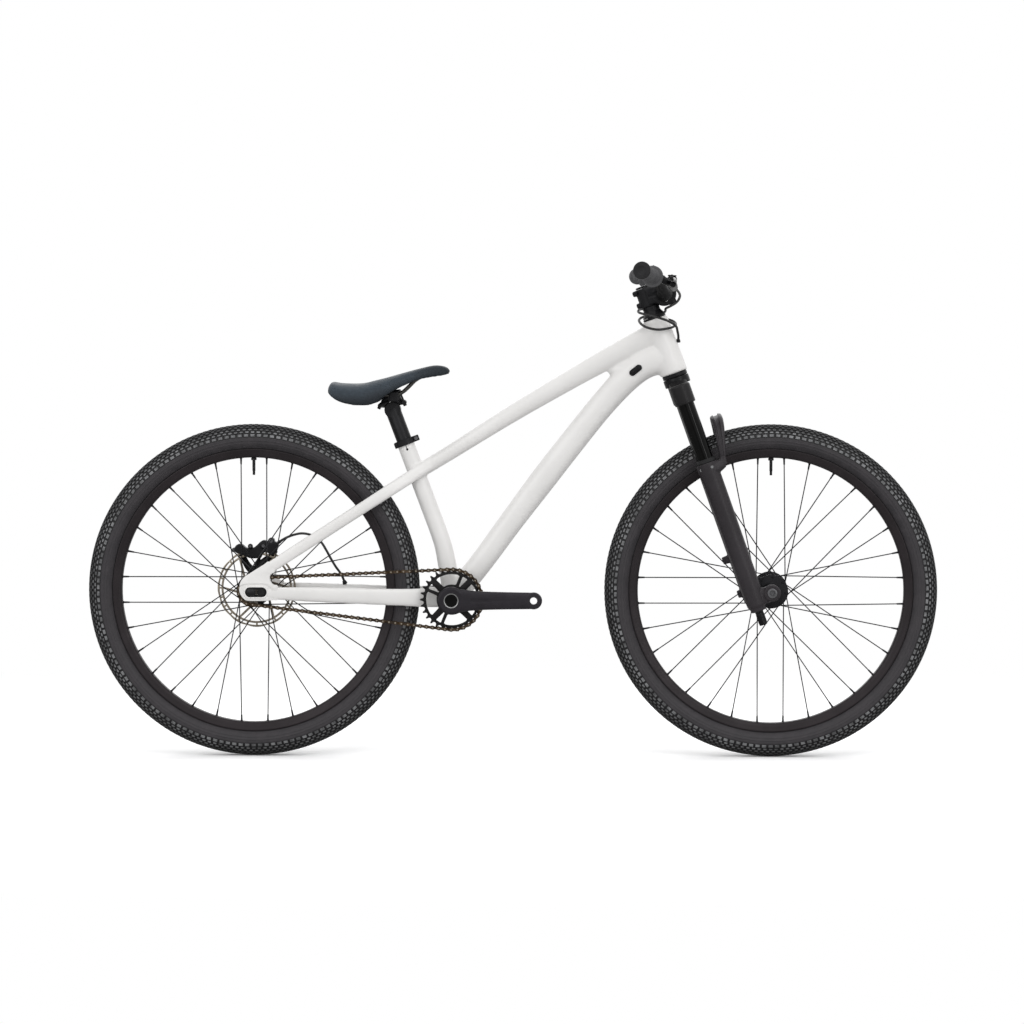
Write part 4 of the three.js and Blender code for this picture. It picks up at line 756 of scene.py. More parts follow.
def rows_tree():
    """Rows of pieces round the Y axis, on an arc of its section, each row shifted from the next."""
    graph, given = tree_inputs(
        "rows_round_axis",
        [
            ("Piece", "Object"), ("Around", "Int"), ("Rows", "Int"), ("Middle radius", "Float"),
            ("Arc radius", "Float"), ("Row angle", "Float"), ("Stagger", "Float"), ("Start", "Float"),
            ("Side", "Float"), ("Material", "Material"),
        ],
    )
    index = graph.node("GeometryNodeInputIndex")
    row = graph.math("FLOOR", (index + 0.5) / given["Around"])
    column = index - row * given["Around"]
    angle = (column + row * given["Stagger"]) / given["Around"] * TURN + given["Start"]
    lean = (row - (given["Rows"] - 1) / 2) * given["Row angle"]
    reach = given["Middle radius"] + given["Arc radius"] * graph.math("COSINE", lean)
    side = given["Side"] + given["Arc radius"] * graph.math("SINE", lean)
    position = graph.on_circle(reach, angle, side)
    count = given["Around"] * given["Rows"]
    points = spots(graph, count, position)
    euler = graph.vector(lean * -1, angle, 0)
    return tree_end(graph, instanced(graph, points, given["Piece"], euler), given["Material"])


def lacing_tree():
    """A wheel's spokes with their nipples, half of them on each side, every second one leading."""
    graph, given = tree_inputs(
        "spoke_lacing",
        [
            ("Spoke", "Object"), ("Nipple", "Object"), ("Head", "Object"), ("Per side", "Int"),
            ("Hub radius", "Float"), ("Rim radius", "Float"), ("Cross", "Float"), ("Right side", "Float"),
            ("Left side", "Float"), ("Rim side", "Float"), ("Weave", "Float"), ("Material", "Material"),
        ],
    )
    index = graph.node("GeometryNodeInputIndex")
    left = graph.math("FLOOR", (index + 0.5) / given["Per side"])
    number = index - left * given["Per side"]
    odd = graph.math("MODULO", number, 2.0)
    rim_angle = (number + 0.25 + left * 0.5) / given["Per side"] * TURN
    hub_angle = rim_angle + given["Cross"] * (1 - odd * 2)
    side = left * 2 - 1
    flange = given["Right side"] + (given["Left side"] - given["Right side"]) * left
    hub_end = graph.on_circle(given["Hub radius"], hub_angle, flange + given["Weave"] * (1 - odd * 2))
    rim_end = graph.on_circle(given["Rim radius"], rim_angle, side * given["Rim side"])
    along = graph.node("ShaderNodeVectorMath", {"operation": "SUBTRACT"}, {0: rim_end, 1: hub_end})
    length = graph.node("ShaderNodeVectorMath", {"operation": "LENGTH"}, {0: along}, "Value")
    rotation = graph.node("FunctionNodeAlignRotationToVector", {"axis": "Z"}, {"Vector": along})
    count = given["Per side"] * 2
    starts, ends = spots(graph, count, hub_end), spots(graph, count, rim_end)
    spokes = instanced(graph, starts, given["Spoke"], rotation=rotation, scale=graph.vector(1, 1, length))
    nipples = instanced(graph, ends, given["Nipple"], rotation=rotation)
    heads = instanced(graph, starts, given["Head"])
    both = graph.node("GeometryNodeJoinGeometry")
    for wire in (spokes, nipples, heads):
        graph.tree.links.new(wire.socket, both.socket.node.inputs[0])
    return tree_end(graph, both, given["Material"])


def chain_tree():
    """Every second link along a closed path."""
    graph, given = tree_inputs(
        "chain_links",
        [
            ("Path", "Object"), ("Link", "Object"), ("Links", "Int"), ("Odd", "Float"),
            ("Material", "Material"),
        ],
    )
    path = graph.node("GeometryNodeMeshToCurve", None, {0: object_geometry(graph, given["Path"])})
    points = graph.node("GeometryNodeResampleCurve", None, {"Curve": path, "Count": given["Links"]})
    tangent = graph.node("GeometryNodeInputTangent")
    x, _y, z = graph.axes(tangent)
    euler = graph.vector(0, graph.math("ARCTAN2", z * -1, x), 0)
    odd = graph.math("MODULO", graph.node("GeometryNodeInputIndex"), 2.0)
    chosen = graph.math("COMPARE", odd, given["Odd"], 0.5)
    links = instanced(graph, points, given["Link"], euler, selection=chosen)
    return tree_end(graph, links, given["Material"])


ROWS, LACING, LINKS = rows_tree(), lacing_tree(), chain_tree()


def grown(tree, place=HERE, **given):
    """The plain mesh that a geometry tree makes from named inputs, in metres, then put in its place."""
    host = scene_object(bpy.data.meshes.new("host"))
    tools = []
    modifier = host.modifiers.new("Grow", "NODES")
    modifier.node_group = tree
    names = {item.name: item.identifier for item in tree.interface.items_tree if item.in_out == "INPUT"}
    for label, value in given.items():
        if isinstance(value, (tuple, bpy.types.Mesh)):
            value = scene_object(mesh_of(value), "tool")
            tools.append(value)
        modifier[names[label.replace("_", " ")]] = value
    mesh = evaluated(host)
    for tool in tools:
        bpy.data.objects.remove(tool)
    return moved(mesh, place)


def ringed(piece, count, radius, side, place=HERE, start=0.0, finish_with=None):
    """The same piece repeated round the Y axis."""
    return grown(
        ROWS, place, Piece=piece, Around=count, Rows=1, Middle_radius=radius * MM, Arc_radius=0.0,
        Row_angle=0.0, Stagger=0.0, Start=radians(start), Side=side * MM, Material=finish_with,
    )


# Wheels


def tyre_casing():
    """The tyre's wall, with two moulded lines on each side and a bead inside the rim."""
    half = []
    for deg in np.arange(0, 118.1, 1.5):
        angle = radians(deg)
        ridge = 0.55 * exp(-(((deg - 99) / 1.3) ** 2)) + 0.5 * exp(-(((deg - 111) / 1.2) ** 2))
        reach = 26.4 + ridge
        half.append((TYRE_RING + reach * cos(angle), reach * sin(angle)))
    half += [(291.2, 20.6), (288.4, 17.6), (286.8, 15.2), (285.6, 13.2), (284, 12.3), (281.5, 12.2)]
    inner = [(281.5, 9.6), (287, 11.5)]
    inner += [(TYRE_RING + 24 * cos(a), 24 * sin(a)) for a in np.radians(np.arange(112, -1, -16))]
    return two_sided(half + inner)


def tread_block(length, width, height):
    """A block of rubber with a chamfered top, standing on the origin along +Z."""
    low = [(-0.54, -0.54), (0.54, -0.54), (0.54, 0.54), (-0.54, 0.54)]
    rings = [
        [(x * length * size, y * width * size, z) for x, y in low]
        for size, z in ((1.0, -1.2), (0.96, height * 0.72), (0.8, height))
    ]
    return skin(rings)


def rim_profile():
    """A double wall with hooked edges."""
    half = [
        (267.7, 0), (267.9, 6), (268.9, 9.6), (271, 11.4), (276, 12.7), (281.6, 14.3), (283.6, 15),
        (285.2, 15), (286, 14.4), (286, 13.2), (285.2, 12.6), (282.5, 12.5), (281, 11.6), (274, 9.4),
        (271.4, 6), (271, 0),
    ]
    return two_sided(half)


def wheel(name, place, right, left):
    """The pieces that both wheels have."""
    body = name + "_wheel"
    stand_in(name + "_tyre", lathe(tyre_casing(), 224, place), body, rubber[name], 50)
    rows = []
    for piece, around, count, spread in (
        (tread_block(6.8, 3.6, 2.3), 176, 11, 12.6), (tread_block(8.6, 5.4, 2.5), 150, 2, 154.0),
    ):
        rows.append(
            grown(
                ROWS, place, Piece=piece, Around=around, Rows=count, Middle_radius=TYRE_RING * MM,
                Arc_radius=0.0263,
                Row_angle=radians(spread), Stagger=0.5, Start=0.0, Side=0.0, Material=tread_rubber[name],
            )
        )
    tread = gathered(*rows)
    part(name + "_tread_blocks", tread, body, tread_rubber[name])
    stand_in(name + "_rim", lathe(rim_profile(), 192, place), body, rim_black, 40)
    spoke = rod_up(1.12, 0, 1000, 8)
    nipple = lathe_up([(0, -13), (1.5, -13), (1.7, -12), (2.0, -2.5), (3.0, 0), (3.0, 2), (0, 2)], 8)
    head = lathe([(0, -2.6), (1.6, -2.4), (2.2, -1.7), (2.2, 1.7), (1.6, 2.4), (0, 2.6)], 8)
    laced = grown(
        LACING, place, Spoke=spoke, Nipple=nipple, Head=head, Per_side=16, Hub_radius=0.0292,
        Rim_radius=0.2682, Cross=radians(67.5), Right_side=-right * MM, Left_side=left * MM,
        Rim_side=0.003, Weave=0.0017, Material=spoke_black,
    )
    nodes = [name + "_spokes_right", name + "_spokes_left"]
    part(name + "_spokes", laced, body, spoke_black, nodes)
    stem = [(0, -35), (2.0, -35), (2.6, -34), (2.6, -27), (3.1, -26.4), (3.1, -4), (0, -4)]
    nut = lathe_up([(0, -5), (5.2, -5), (5.6, -4.4), (5.6, -1), (4.2, 0.6), (0, 0.6)], 24)
    valve = joined(lathe_up(stem, 20), nut)
    stand_in(name + "_valve", placed(valve, place @ at(0, 0, 267.6)), body, dark_bolt)


def chamfered(points, edge=0.5):
    """Cuts each corner of an outline, so that a lathed edge catches the light."""
    made = []
    for i, (radius, along) in enumerate(points):
        if radius == 0:
            made.append((radius, along))
            continue
        here = Vector((radius, along))
        for other in (points[i - 1], points[(i + 1) % len(points)]):
            way = Vector(other) - here
            made.append(tuple(here + way.normalized() * min(edge, way.length * 0.4)))
    return made


wheel("rear", REAR_WHEEL, 29, 29.5)
wheel("front", FRONT_WHEEL, 31.5, 31.5)

front_hub = chamfered(
    [
        (0, -54.6), (12.3, -54.6), (12.3, -41), (17, -38.5), (18.5, -34.6), (34, -33.2), (34, -30), (19, -28),
        (15.5, -20), (14.6, 0), (15.5, 20), (19, 28), (34, 30), (34, 33.2), (19, 35), (19, 37), (35.9, 37),
        (35.9, 40), (17, 40), (12.3, 42), (12.3, 54.6), (0, 54.6),
    ]
)
stand_in("front_hub", lathe(front_hub, 72, FRONT_WHEEL), "front_wheel", hub_black, 30)
thread = lathe([(0, -0.2), (3.4, -0.2), (3.4, 0.5), (2.6, 0.5), (2.6, 0.1), (0, 0.1)], 16)
threads = ringed(thread, 6, 22, 40.1, FRONT_WHEEL, finish_with=dark_bolt)
part("front_disc_threads", threads, "front_wheel", dark_bolt)

rear_hub = chamfered(
    [
        (0, -30.4), (17, -30.4), (22, -29.4), (33.5, -28.4), (33.5, -25.6), (21, -23.5), (17.5, -16),
        (16.4, 2), (17.5, 20), (21, 27.5), (33.5, 28), (33.5, 31.2), (22.5, 34.4), (21.5, 50.6), (24, 50.8),
        (24, 50.9), (11, 53.4), (11, 67), (0, 67),
    ]
)
stand_in("rear_hub", lathe(rear_hub, 72, REAR_WHEEL), "rear_wheel", hub_black, 30)


def rotor_outline():
    """A wavy edge of twelve shallow scallops."""
    points = []
    for i in range(288):
        angle = TURN * i / 288
        wave = 0.5 + 0.5 * cos(12 * angle)
        radius = 80 - 1.2 * (1 - wave) ** 2
        points.append(polar(radius, angle))
    return points


def rotor_plate():
    """A disc brake rotor: slots in its band, and six leaning arms to a carrier with bolts."""
    holes = [round_hole(17, steps=48)]
    for step, start, end, low, high, slant in (
        (15, 1.4, 13.6, 72.2, 75.8, 0), (60, 1.9, 58.1, 31, 68.0, 22),
    ):
        for first in range(0, 360, step):
            sweep = np.radians(np.linspace(first + start, first + end, 12))
            inner = np.radians(np.linspace(first + start * 3 + slant, first + end - start * 2 + slant, 12))
            back = inner if slant else sweep
            holes.append(
                [polar(high, angle) for angle in sweep] + [polar(low, angle) for angle in back[::-1]]
            )
    holes += [round_hole(2.4, *polar(26, radians(60 * i + 25)), 12) for i in range(6)]
    return plate(rotor_outline(), holes, 1.9, 52, 0.25, REAR_WHEEL)


stand_in("rear_rotor", rotor_plate(), "rear_wheel", rotor_steel, 30)
rotor_bolt = placed(cap_screw(3.9, height=2.4), turn(180, "X"))
bolts = ringed(rotor_bolt, 6, 21.6, 52.9, REAR_WHEEL, 25, bolt_steel)
part("rotor_bolts", bolts, "rear_wheel", bolt_steel)


def toothed(teeth, pitch_radius, roller=3.95, tip=3.4, phase=0.0):
    """A sprocket's outline: round seats for the rollers and pointed teeth between them."""
    points = []
    for i in range(teeth):
        middle = TURN * (i + phase) / teeth
        seat = Vector((cos(middle), sin(middle)))
        aside = Vector((-seat.y, seat.x))
        for deg in (-72, -48, -24, 0, 24, 48, 72):
            lean = radians(deg)
            points.append(tuple(seat * (pitch_radius - roller * cos(lean)) + aside * roller * sin(lean)))
        for share, lift in ((0.36, 0.45), (0.44, 0.92), (0.5, 1.0), (0.56, 0.92), (0.64, 0.45)):
            angle = middle + TURN / teeth * share
            reach = pitch_radius + tip * lift
            points.append(polar(reach, angle))
    return points


cog = plate(toothed(COG_TEETH, COG_PITCH), [round_hole(16)], 2.3, CHAIN_SIDE, 0.3, REAR_WHEEL)
driver = chamfered(
    [
        (5.3, -67.2), (11, -67.2), (12.5, -66), (12.5, -61.5), (17, -60.8), (17.2, -58), (17.2, -52.6),
        (20, -52), (20, -46), (17.4, -45.4), (17.2, -40), (19.6, -38.6), (19.6, -31.2), (5.3, -31.2),
    ]
)
sprocket = gathered(cog, lathe(driver, 60, REAR_WHEEL))
stand_in("rear_sprocket", sprocket, "freewheel", drive_steel, 30)

# Crankset and chain


def crank_shape():
    """An arm drawn forward on the right: a round hub, a tapering bar and an eye for the pedal."""
    rows = [
        (0, -75, 0, 18, 48), (25, -75, 0, 18, 45), (36, -75.2, 0, 17.6, 41), (59, -75.8, 0, 17, 37.6),
        (82, -76.2, 0, 16.2, 36), (120, -76.8, 0, 15, 34.4), (150, -77.3, 0, 13.4, 33.6),
        (CRANK_LENGTH, -77.5, 0, 13, 33),
    ]
    pedal = at(CRANK_LENGTH, 0, 0)
    arm = loft(smooth(rows, 6), 40, 3.6)
    hub = disc(27.5, -84, -66, 3.4, 72)
    eye = disc(17, -84, -71, 1.6, 64, pedal)
    body = cast([arm, hub, eye], 0.9, 5)
    pocket = loft(smooth([(40, -86.6, 0, 6, 15), (90, -87.2, 0, 6, 13), (138, -87.2, 0, 6, 11)], 6), 24, 3)
    hole = disc(7.2, -100, -50, 0.1, 40, pedal)
    mouth = lathe([(0, -84.6), (8.6, -84.6), (7, -82.9), (0, -82.9)], 40, pedal)
    socket = disc(15.4, -100, -82.6, 0.2, 56)
    return carved(body, hole, mouth, socket, pocket)


arm = crank_shape()
for name, mesh, place in (("right", arm.copy(), CRANK), ("left", arm, CRANK @ turn(180, "Z"))):
    stand_in("crank_arm_" + name, moved(mesh, place), "crankset", crank_grey, 28)
ring = chamfered([(8.6, 66), (12, 66), (12, 83.2), (11.2, 83.2), (11.2, 82), (8.6, 82)], 0.3)
spindle = both_ends(ring, 48, CRANK)
spindle.append(lathe(chamfered([(8.2, -66), (12, -66), (12, 66), (8.2, 66)]), 48, CRANK))
spindle += [disc(12, 82.2 * side - 0.5, 82.2 * side + 0.5, 0.3, 48, CRANK) for side in (1, -1)]
stand_in("crank_spindle", joined(*spindle), "crankset", stanchion_black)
ring = chamfered([(12.3, 81), (15.3, 81), (15.3, 83.9), (13.4, 83.9), (12.3, 82.8)], 0.4)
part("crank_rings", joined(*both_ends(ring, 64, CRANK)), "crankset", bright_steel)


def spider_ring():
    """The chainring's plate: eight windows between four wide and four thin arms."""
    windows = []
    arms = sorted([(45 + 90 * k, 5.2) for k in range(4)] + [(68 + 90 * k, 2.1) for k in range(4)])
    inner, outer = 30.5, 51.4
    for i, (deg, half) in enumerate(arms):
        after, after_half = arms[(i + 1) % len(arms)]
        start = {reach: radians(deg) + asin((half + 1.2) / reach) for reach in (inner, outer)}
        gap = radians((after - deg) % 360)
        end = {reach: radians(deg) + gap - asin((after_half + 1.2) / reach) for reach in (inner, outer)}
        window = []
        for reach, order in ((outer, 1), (inner, -1)):
            for angle in np.linspace(start[reach], end[reach], 14)[::order]:
                shy = 1.6 if angle in (start[reach], end[reach]) else 0
                radius = reach - shy if reach == outer else reach + shy
                window.append(polar(radius, angle))
        windows.append(window)
    outline = toothed(RING_TEETH, RING_PITCH, phase=0.5)
    teeth = plate(outline, [round_hole(51.5, steps=96)], 2.3, CHAIN_SIDE, 0.35, CRANK)
    web = plate(round_hole(54.6, steps=120), [*windows, round_hole(12.3, steps=40)], 3.6, -49.4, 0.6, CRANK)
    profile = [(12.3, -65.7), (19, -65.7), (22, -62), (24.5, -51), (24.5, -47), (12.3, -47)]
    boss = lathe(chamfered(profile), 64, CRANK)
    return gathered(teeth, web, boss)


stand_in("chainring", spider_ring(), "crankset", ring_black, 30)


def chain_path():
    """The chain's closed line round the ring and the sprocket."""
    ring, cog_at = CRANK.translation, REAR_WHEEL.translation
    way = cog_at - ring
    heading = atan2(way.z, way.x)
    lean = acos((RING_PITCH - COG_PITCH) / way.length)
    points = []
    for centre, radius, start, end, steps in (
        (ring, RING_PITCH, heading + lean - TURN, heading - lean, 90),
        (cog_at, COG_PITCH, heading - lean, heading + lean, 50),
    ):
        for i in range(steps + 1):
            angle = start + (end - start) * i / steps
            points.append(centre + Vector((radius * cos(angle), CHAIN_SIDE, radius * sin(angle))))
    return points


def link(half_gap, thickness, length=12.55, height=8.8):
    """Two plates of a chain link with a narrow waist, along X about the origin."""
    outline = []
    for i in range(20):
        angle = TURN * i / 20 - pi / 2
        shift = length / 2 * (1 if i < 10 else -1)
        waist = 0.8 if i in (0, 9, 10, 19) else 1.0
        outline.append((height / 2 * cos(angle) * 0.98 + shift, height / 2 * sin(angle) * waist))
        if i % 10 == 9:
            outline.append((0, 2.4 if i == 9 else -2.4))
    shapes = []
    for side in (-1, 1):
        rings = [
            [(x * size, side * (half_gap + depth), z * size) for x, z in outline]
            for size, depth in ((1, 0), (1, thickness * 0.7), (0.95, thickness))
        ]
        shapes.append(skin(rings))
    return shapes


def chain_link(wide):
    """A link's two plates, with pins in a wide one and rollers in a narrow one."""
    plates = link(2.5, 1.05) if wide else link(1.3, 1.05)
    ends = []
    for x in (-6.29, 6.29):
        if wide:
            pin = [(0, -4.0), (1.5, -4.0), (1.8, -3.7), (1.8, 3.7), (1.5, 4.0), (0, 4.0)]
            ends.append(lathe(pin, 8, at(x, 0, 0)))
        else:
            ends.append(rod(3.85, -1.4, 1.4, 10, at(x, 0, 0)))
    return joined(*plates, *ends)


loop = chain_path()
path_mesh = bpy.data.meshes.new("chain_path")
path_mesh.from_pydata([tuple(p * MM) for p in loop], [(i, (i + 1) % len(loop)) for i in range(len(loop))], [])
for label, wide, finish_with, nodes in (
    ("chain_outer_links", True, chain_bronze, ["chain"]), ("chain_inner_links", False, chain_dark, []),
):
    links = grown(
        LINKS, Path=path_mesh.copy(), Link=chain_link(wide), Links=86, Odd=float(wide), Material=finish_with,
    )
    part(label, links, "frame", finish_with, nodes, 30)

# Frame


def tube_rows(start, end, shares, width, height):
    """A frame tube's rows from shares: along its line, bow to its upper side, height and width."""
    line = end - start
    upper = line.normalized().cross(Y_AXIS)
    rows = []
    for along, bow, tall, wide in shares:
        middle = start + line * along + upper * (bow * line.length)
        rows.append((*middle, wide * width, tall * height))
    return smooth(rows, 8)


DOWN_TUBE = [
    (0, 0, 0.94, 0.94), (0.143, 0.0076, 0.94, 0.94), (0.296, 0.0223, 0.97, 0.96), (0.45, 0.0353, 1.04, 1),
    (0.606, 0.046, 1.04, 1), (0.75, 0.0535, 1.04, 1), (0.87, 0.0518, 1.12, 1.02), (0.945, 0.037, 1.24, 1.02),
    (1, 0, 1.32, 1.02),
]
TOP_TUBE = [
    (0, 0, 0.86, 0.86), (0.144, 0.0025, 0.88, 0.9), (0.4, 0.0105, 1, 0.97), (0.651, 0.0115, 1.14, 1.03),
    (0.8, 0.009, 1.25, 1.06), (0.9, 0.006, 1.32, 1.1), (1, 0, 1.42, 1.15),
]
crank_middle = CRANK.translation
seat_junction = SEAT @ Vector((0, 0, -72))
down_rows = tube_rows(crank_middle, STEER @ Vector((0, 0, 35.1)), DOWN_TUBE, 48, 50)
top_rows = tube_rows(seat_junction, STEER @ Vector((0, 0, 88.9)), TOP_TUBE, 36, 34)
seat_bend = Vector((-137.2, 0, 425.2))
seat_rows = [(*(SEAT @ Vector((0, 0, -z))), 34.9, 34.9) for z in np.linspace(1, 172, 10)]
seat_rows += smooth(
    [
        (*(SEAT @ Vector((0, 0, -186))), 34.9, 34.9), (*(seat_bend + Vector((-2, 0, 1))), 34.9, 35.6),
        (*seat_bend.lerp(crank_middle, 0.42), 34.9, 38), (*seat_bend.lerp(crank_middle, 0.8), 34.9, 38),
    ],
    8,
)
crease = [
    (194, 0, 776, 16, 7), (206, 0, 781, 26, 15), (222, 0, 788, 34, 20), (244, 0, 797, 36, 24),
    (262, 0, 806, 34, 22),
]
head = lathe_up([(0, 0), (28, 0), (28.1, 6), (27, 60), (25.6, 112), (25.5, 117), (0, 117)], 80, STEER)
shell = rod(21, -34, 34, 64, CRANK)
CHAINSTAY = [
    (0, 0.33, 1.05, 0.9), (0.17, 0.42, 1.08, 0.86), (0.26, 0.56, 1, 0.86), (0.5, 0.76, 0.91, 1),
    (0.8, 0.88, 0.83, 1), (0.94, 0.98, 0.76, 0.7), (1.03, 1, 0.7, 0.5),
]
SEATSTAY = [
    (-0.13, 0.08, 0.9, 0.86), (-0.06, 0.19, 1, 0.94), (0, 0.3, 1.04, 1), (0.07, 0.42, 1.04, 1),
    (0.2, 0.66, 1, 1), (0.45, 0.78, 0.96, 1), (0.75, 0.93, 0.96, 0.86), (0.92, 1, 0.95, 0.62),
    (1.02, 1, 0.92, 0.5),
]

STAY_REACH = 71.8


def stay_rows(start, end, shares, width, height):
    """A stay's rows from shares: along its line, reach to the side, height and width."""
    rows = []
    for along, reach, tall, wide in shares:
        middle = start.lerp(end, along)
        rows.append((middle.x, STAY_REACH * reach, middle.z, wide * width, tall * height))
    return smooth(rows, 8)


DROPOUT = [
    (-22.8, 11), (-23.6, 4), (-21.2, -4), (-15.3, -12.2), (-7.1, -16.9), (16, -17.5), (32, -17.1),
    (45, -15.6), (54, -13.6), (54, 12), (46, 15), (40.5, 20.6), (38, 29.2), (40.5, 36.6), (48.6, 42.4),
    (37, 61.4), (26, 55.6), (12, 47), (-0.4, 39.1), (-12, 31.7), (-18.7, 24.2), (-22, 17.6),
]

AXLE_SLOT = slot_hole(27, 10.8, 7.6)
SLOT_MIDDLE = 10


def dropout_plate(side):
    """A dropout's plate with a lip round its window and a brow along its upper edge."""
    outline = smooth(DROPOUT, 3, loop=True)
    back = plate(outline, [AXLE_SLOT], 4.2, side * 70, 0.7, REAR_WHEEL)
    window = slot_hole(43.6, 19.6, SLOT_MIDDLE)
    front = plate(outline, [window], 3.2, side * 72.6, 0.7, REAR_WHEEL)
    lip = plate(slot_hole(50.4, 26.2, SLOT_MIDDLE), [window], 2.2, side * 74.4, 0.9, REAR_WHEEL)
    brow = smooth(DROPOUT[9:], 3)
    brow += [
        (-22.6, 12), (-16, 14.8), (-6, 16.6), (10, 17), (25, 16.8), (33.5, 14.6), (39.5, 10), (43.5, 4),
        (54, 4),
    ]
    upper = plate(brow, [], 3.0, side * 74.4, 0.9, REAR_WHEEL)
    return gathered(back, front, lip, upper)


chainstay = loft(stay_rows(crank_middle, Vector((-478, 0, 334)), CHAINSTAY, 14, 36), 32, 2.6)
seatstay = loft(stay_rows(seat_junction, Vector((-498, 0, 376)), SEATSTAY, 14, 25), 32, 2.6)
welded = [
    loft(down_rows, 48, 2.3), loft(top_rows, 44, 2.3), loft(seat_rows, 44, 2.0), head, shell, chainstay,
    seatstay,
    mirrored(chainstay), mirrored(seatstay), loft(smooth(crease, 4), 32, 2.2),
]
relief = [disc(2.3, -30, -12, 0.1, 24, SEAT @ at(0, 0, -21)), placed(block(1.6, 12, 16, 0, -18, -11), SEAT)]
frame_nodes = ["head_tube", "top_tube", "down_tube", "seat_tube", "bottom_bracket_shell"]
frame_nodes += [stay + side for stay in ("chainstay_", "seatstay_") for side in ("right", "left")]
part("main_frame", carved(cast(welded, 2.2, 16), *relief), "frame", white_paint, frame_nodes, 60)
for name, side in SIDES:
    stand_in("dropout_" + name, dropout_plate(side), "frame", white_paint, 30)
    inset = plate(slot_hole(43.4, 19.3, SLOT_MIDDLE), [AXLE_SLOT], 1.2, side * 71.9, 0.3, REAR_WHEEL)
    part("tensioner_plate_" + name, inset, "frame", bright_black)

NUT_SIDE = 71.6
nut = chamfered([(0, -6.6), (4.4, -6.6), (5, -5.6), (8.3, -5), (8.5, -1.4), (10, -1), (10, 0), (0, 0)], 0.25)
axle = both_ends([(radius, along - NUT_SIDE) for radius, along in nut], 36, REAR_WHEEL)
axle.append(rod(5, -72, 72, 24, REAR_WHEEL))
stand_in("rear_axle", joined(*axle), "frame", dark_bolt, 30)
tension = []
for side in (1, -1):
    place = REAR_WHEEL @ at(20, side * NUT_SIDE, 0) @ outwards(side)
    tension.append(cap_screw(5.6, place, 3.4))
    tension.append(disc(7.4, -1.2, 0, 0.3, 32, place))
part("dropout_bolts", joined(*tension), "frame", dark_bolt)

lip = chamfered([(12.6, 34.2), (20.5, 34.2), (20.5, 36.8), (18.6, 38.3), (14, 38.3), (12.6, 37.6)], 0.3)
stand_in("bearing_cartridge", joined(*both_ends(lip, 64, CRANK)), "frame", black_alloy)

plug = gathered(plate(slot_hole(29, 13), [], 1.6, 0, 0.6), softened(block(17, 3, 3), 0.8))
moved(plug, at(248.7, -25.6, 780.5) @ turn(-38, "Y"))
stand_in("cable_port_plug", plug, "frame", bright_black)

COLLAR_SCREW = at(24, 0, -6)


def collar_shape():
    """The seat collar: a ring with split lugs at the front and a small lip at the rear."""
    ring = lathe_up(chamfered([(17.6, -12), (21.2, -12), (21.2, 0), (17.6, 0)], 0.6), 72)
    rear = softened(block(6, 15, 11.4, -19.4, 0, -6.6), 1.4)
    lugs = softened(block(13, 17, 11.8, 23.2, 0, -6), 1.4)
    bore = rod_up(17.6, -30, 30, 72)
    split = block(20, 1.8, 20, 28, 0, -6)
    screw = disc(2.7, -20, 20, 0.1, 20, COLLAR_SCREW)
    return carved(combined(ring, lugs, rear), bore, split, screw)


stand_in("seat_collar", moved(collar_shape(), SEAT), "frame", black_alloy, 30)
screw = joined(
    cap_screw(3.8, at(24, -8.2, -6), 2.4),
    rod(2.4, -8.6, 9.2, 16, COLLAR_SCREW),
    rod(3.8, 8.3, 10.6, 6, COLLAR_SCREW),
)
part("collar_screw", placed(screw, SEAT), "frame", axle_grey)

lower_cup = chamfered(
    [(15.2, -8), (24.6, -8), (25.5, -6.4), (25.5, -0.2), (20.3, -0.2), (20.3, 0.5), (15.2, 0.5)], 0.4,
)
upper_cup = chamfered([(15.2, 116.6), (23.4, 117.2), (23.4, 120), (22, 121), (15.2, 121)], 0.4)
stand_in("headset_cup_lower", lathe_up(lower_cup, 72, STEER), "frame", black_alloy)
stand_in("headset_cup_upper", lathe_up(upper_cup, 72, STEER), "frame", black_alloy)


CALIPER = [
    (-42, 72), (-45.5, 78.5), (-42.5, 86), (-35, 90), (-28, 88), (-21.5, 82.6), (-14, 81), (-6, 82.4),
    (1.6, 88), (8.5, 94.8), (15.5, 97.6), (22, 95.4), (28, 92), (35.5, 94.4), (42.6, 93), (45.4, 87.4),
    (43, 79.6), (39.4, 71.6), (33, 67), (26, 69.4), (20, 73.4), (13, 69.6), (8.4, 63.2), (1, 60.4),
    (-12, 60.4), (-21, 63.6), (-32, 68.6),
]


def caliper_body():
    """The rear brake's body over the rotor, with a saddle-like back, and its foot on the dropout."""
    solids = [plate(smooth(CALIPER, 3, loop=True), [], 22, 55, 2.2), disc(6.6, 46, 69, 1, 40, at(30, 0, 96))]
    solids += [disc(5.2, 41, 48, 1, 36, at(x, 0, z)) for x, z in ((-12, 85.4), (14.6, 86))]
    solids.append(disc(4.8, 49, 65, 1.2, 32, at(-46.5, 0, 77)))
    for rows in (
        [(-34, 60, 76, 12, 13), (-28, 66, 60, 9, 13), (-20, 70, 44, 7, 15), (-6, 70.4, 28, 7, 18)],
        [(36, 62, 76, 10, 14), (28, 67, 64, 8, 14), (12, 70.4, 50, 7, 17), (0, 70.4, 36, 7, 20)],
        [(8, 64, 66, 8, 6), (2, 68, 56, 7, 6), (-6, 70.4, 36, 7, 9)],
    ):
        solids.append(loft(smooth(rows, 5), 24, 3))
    fused = cast(solids, 0.95, 4)
    slot = disc(82, 50, 54, 0.2, 96)
    clear = block(120, 9.6, 80, 0, 76.6, 20)
    return carved(fused, slot, clear)


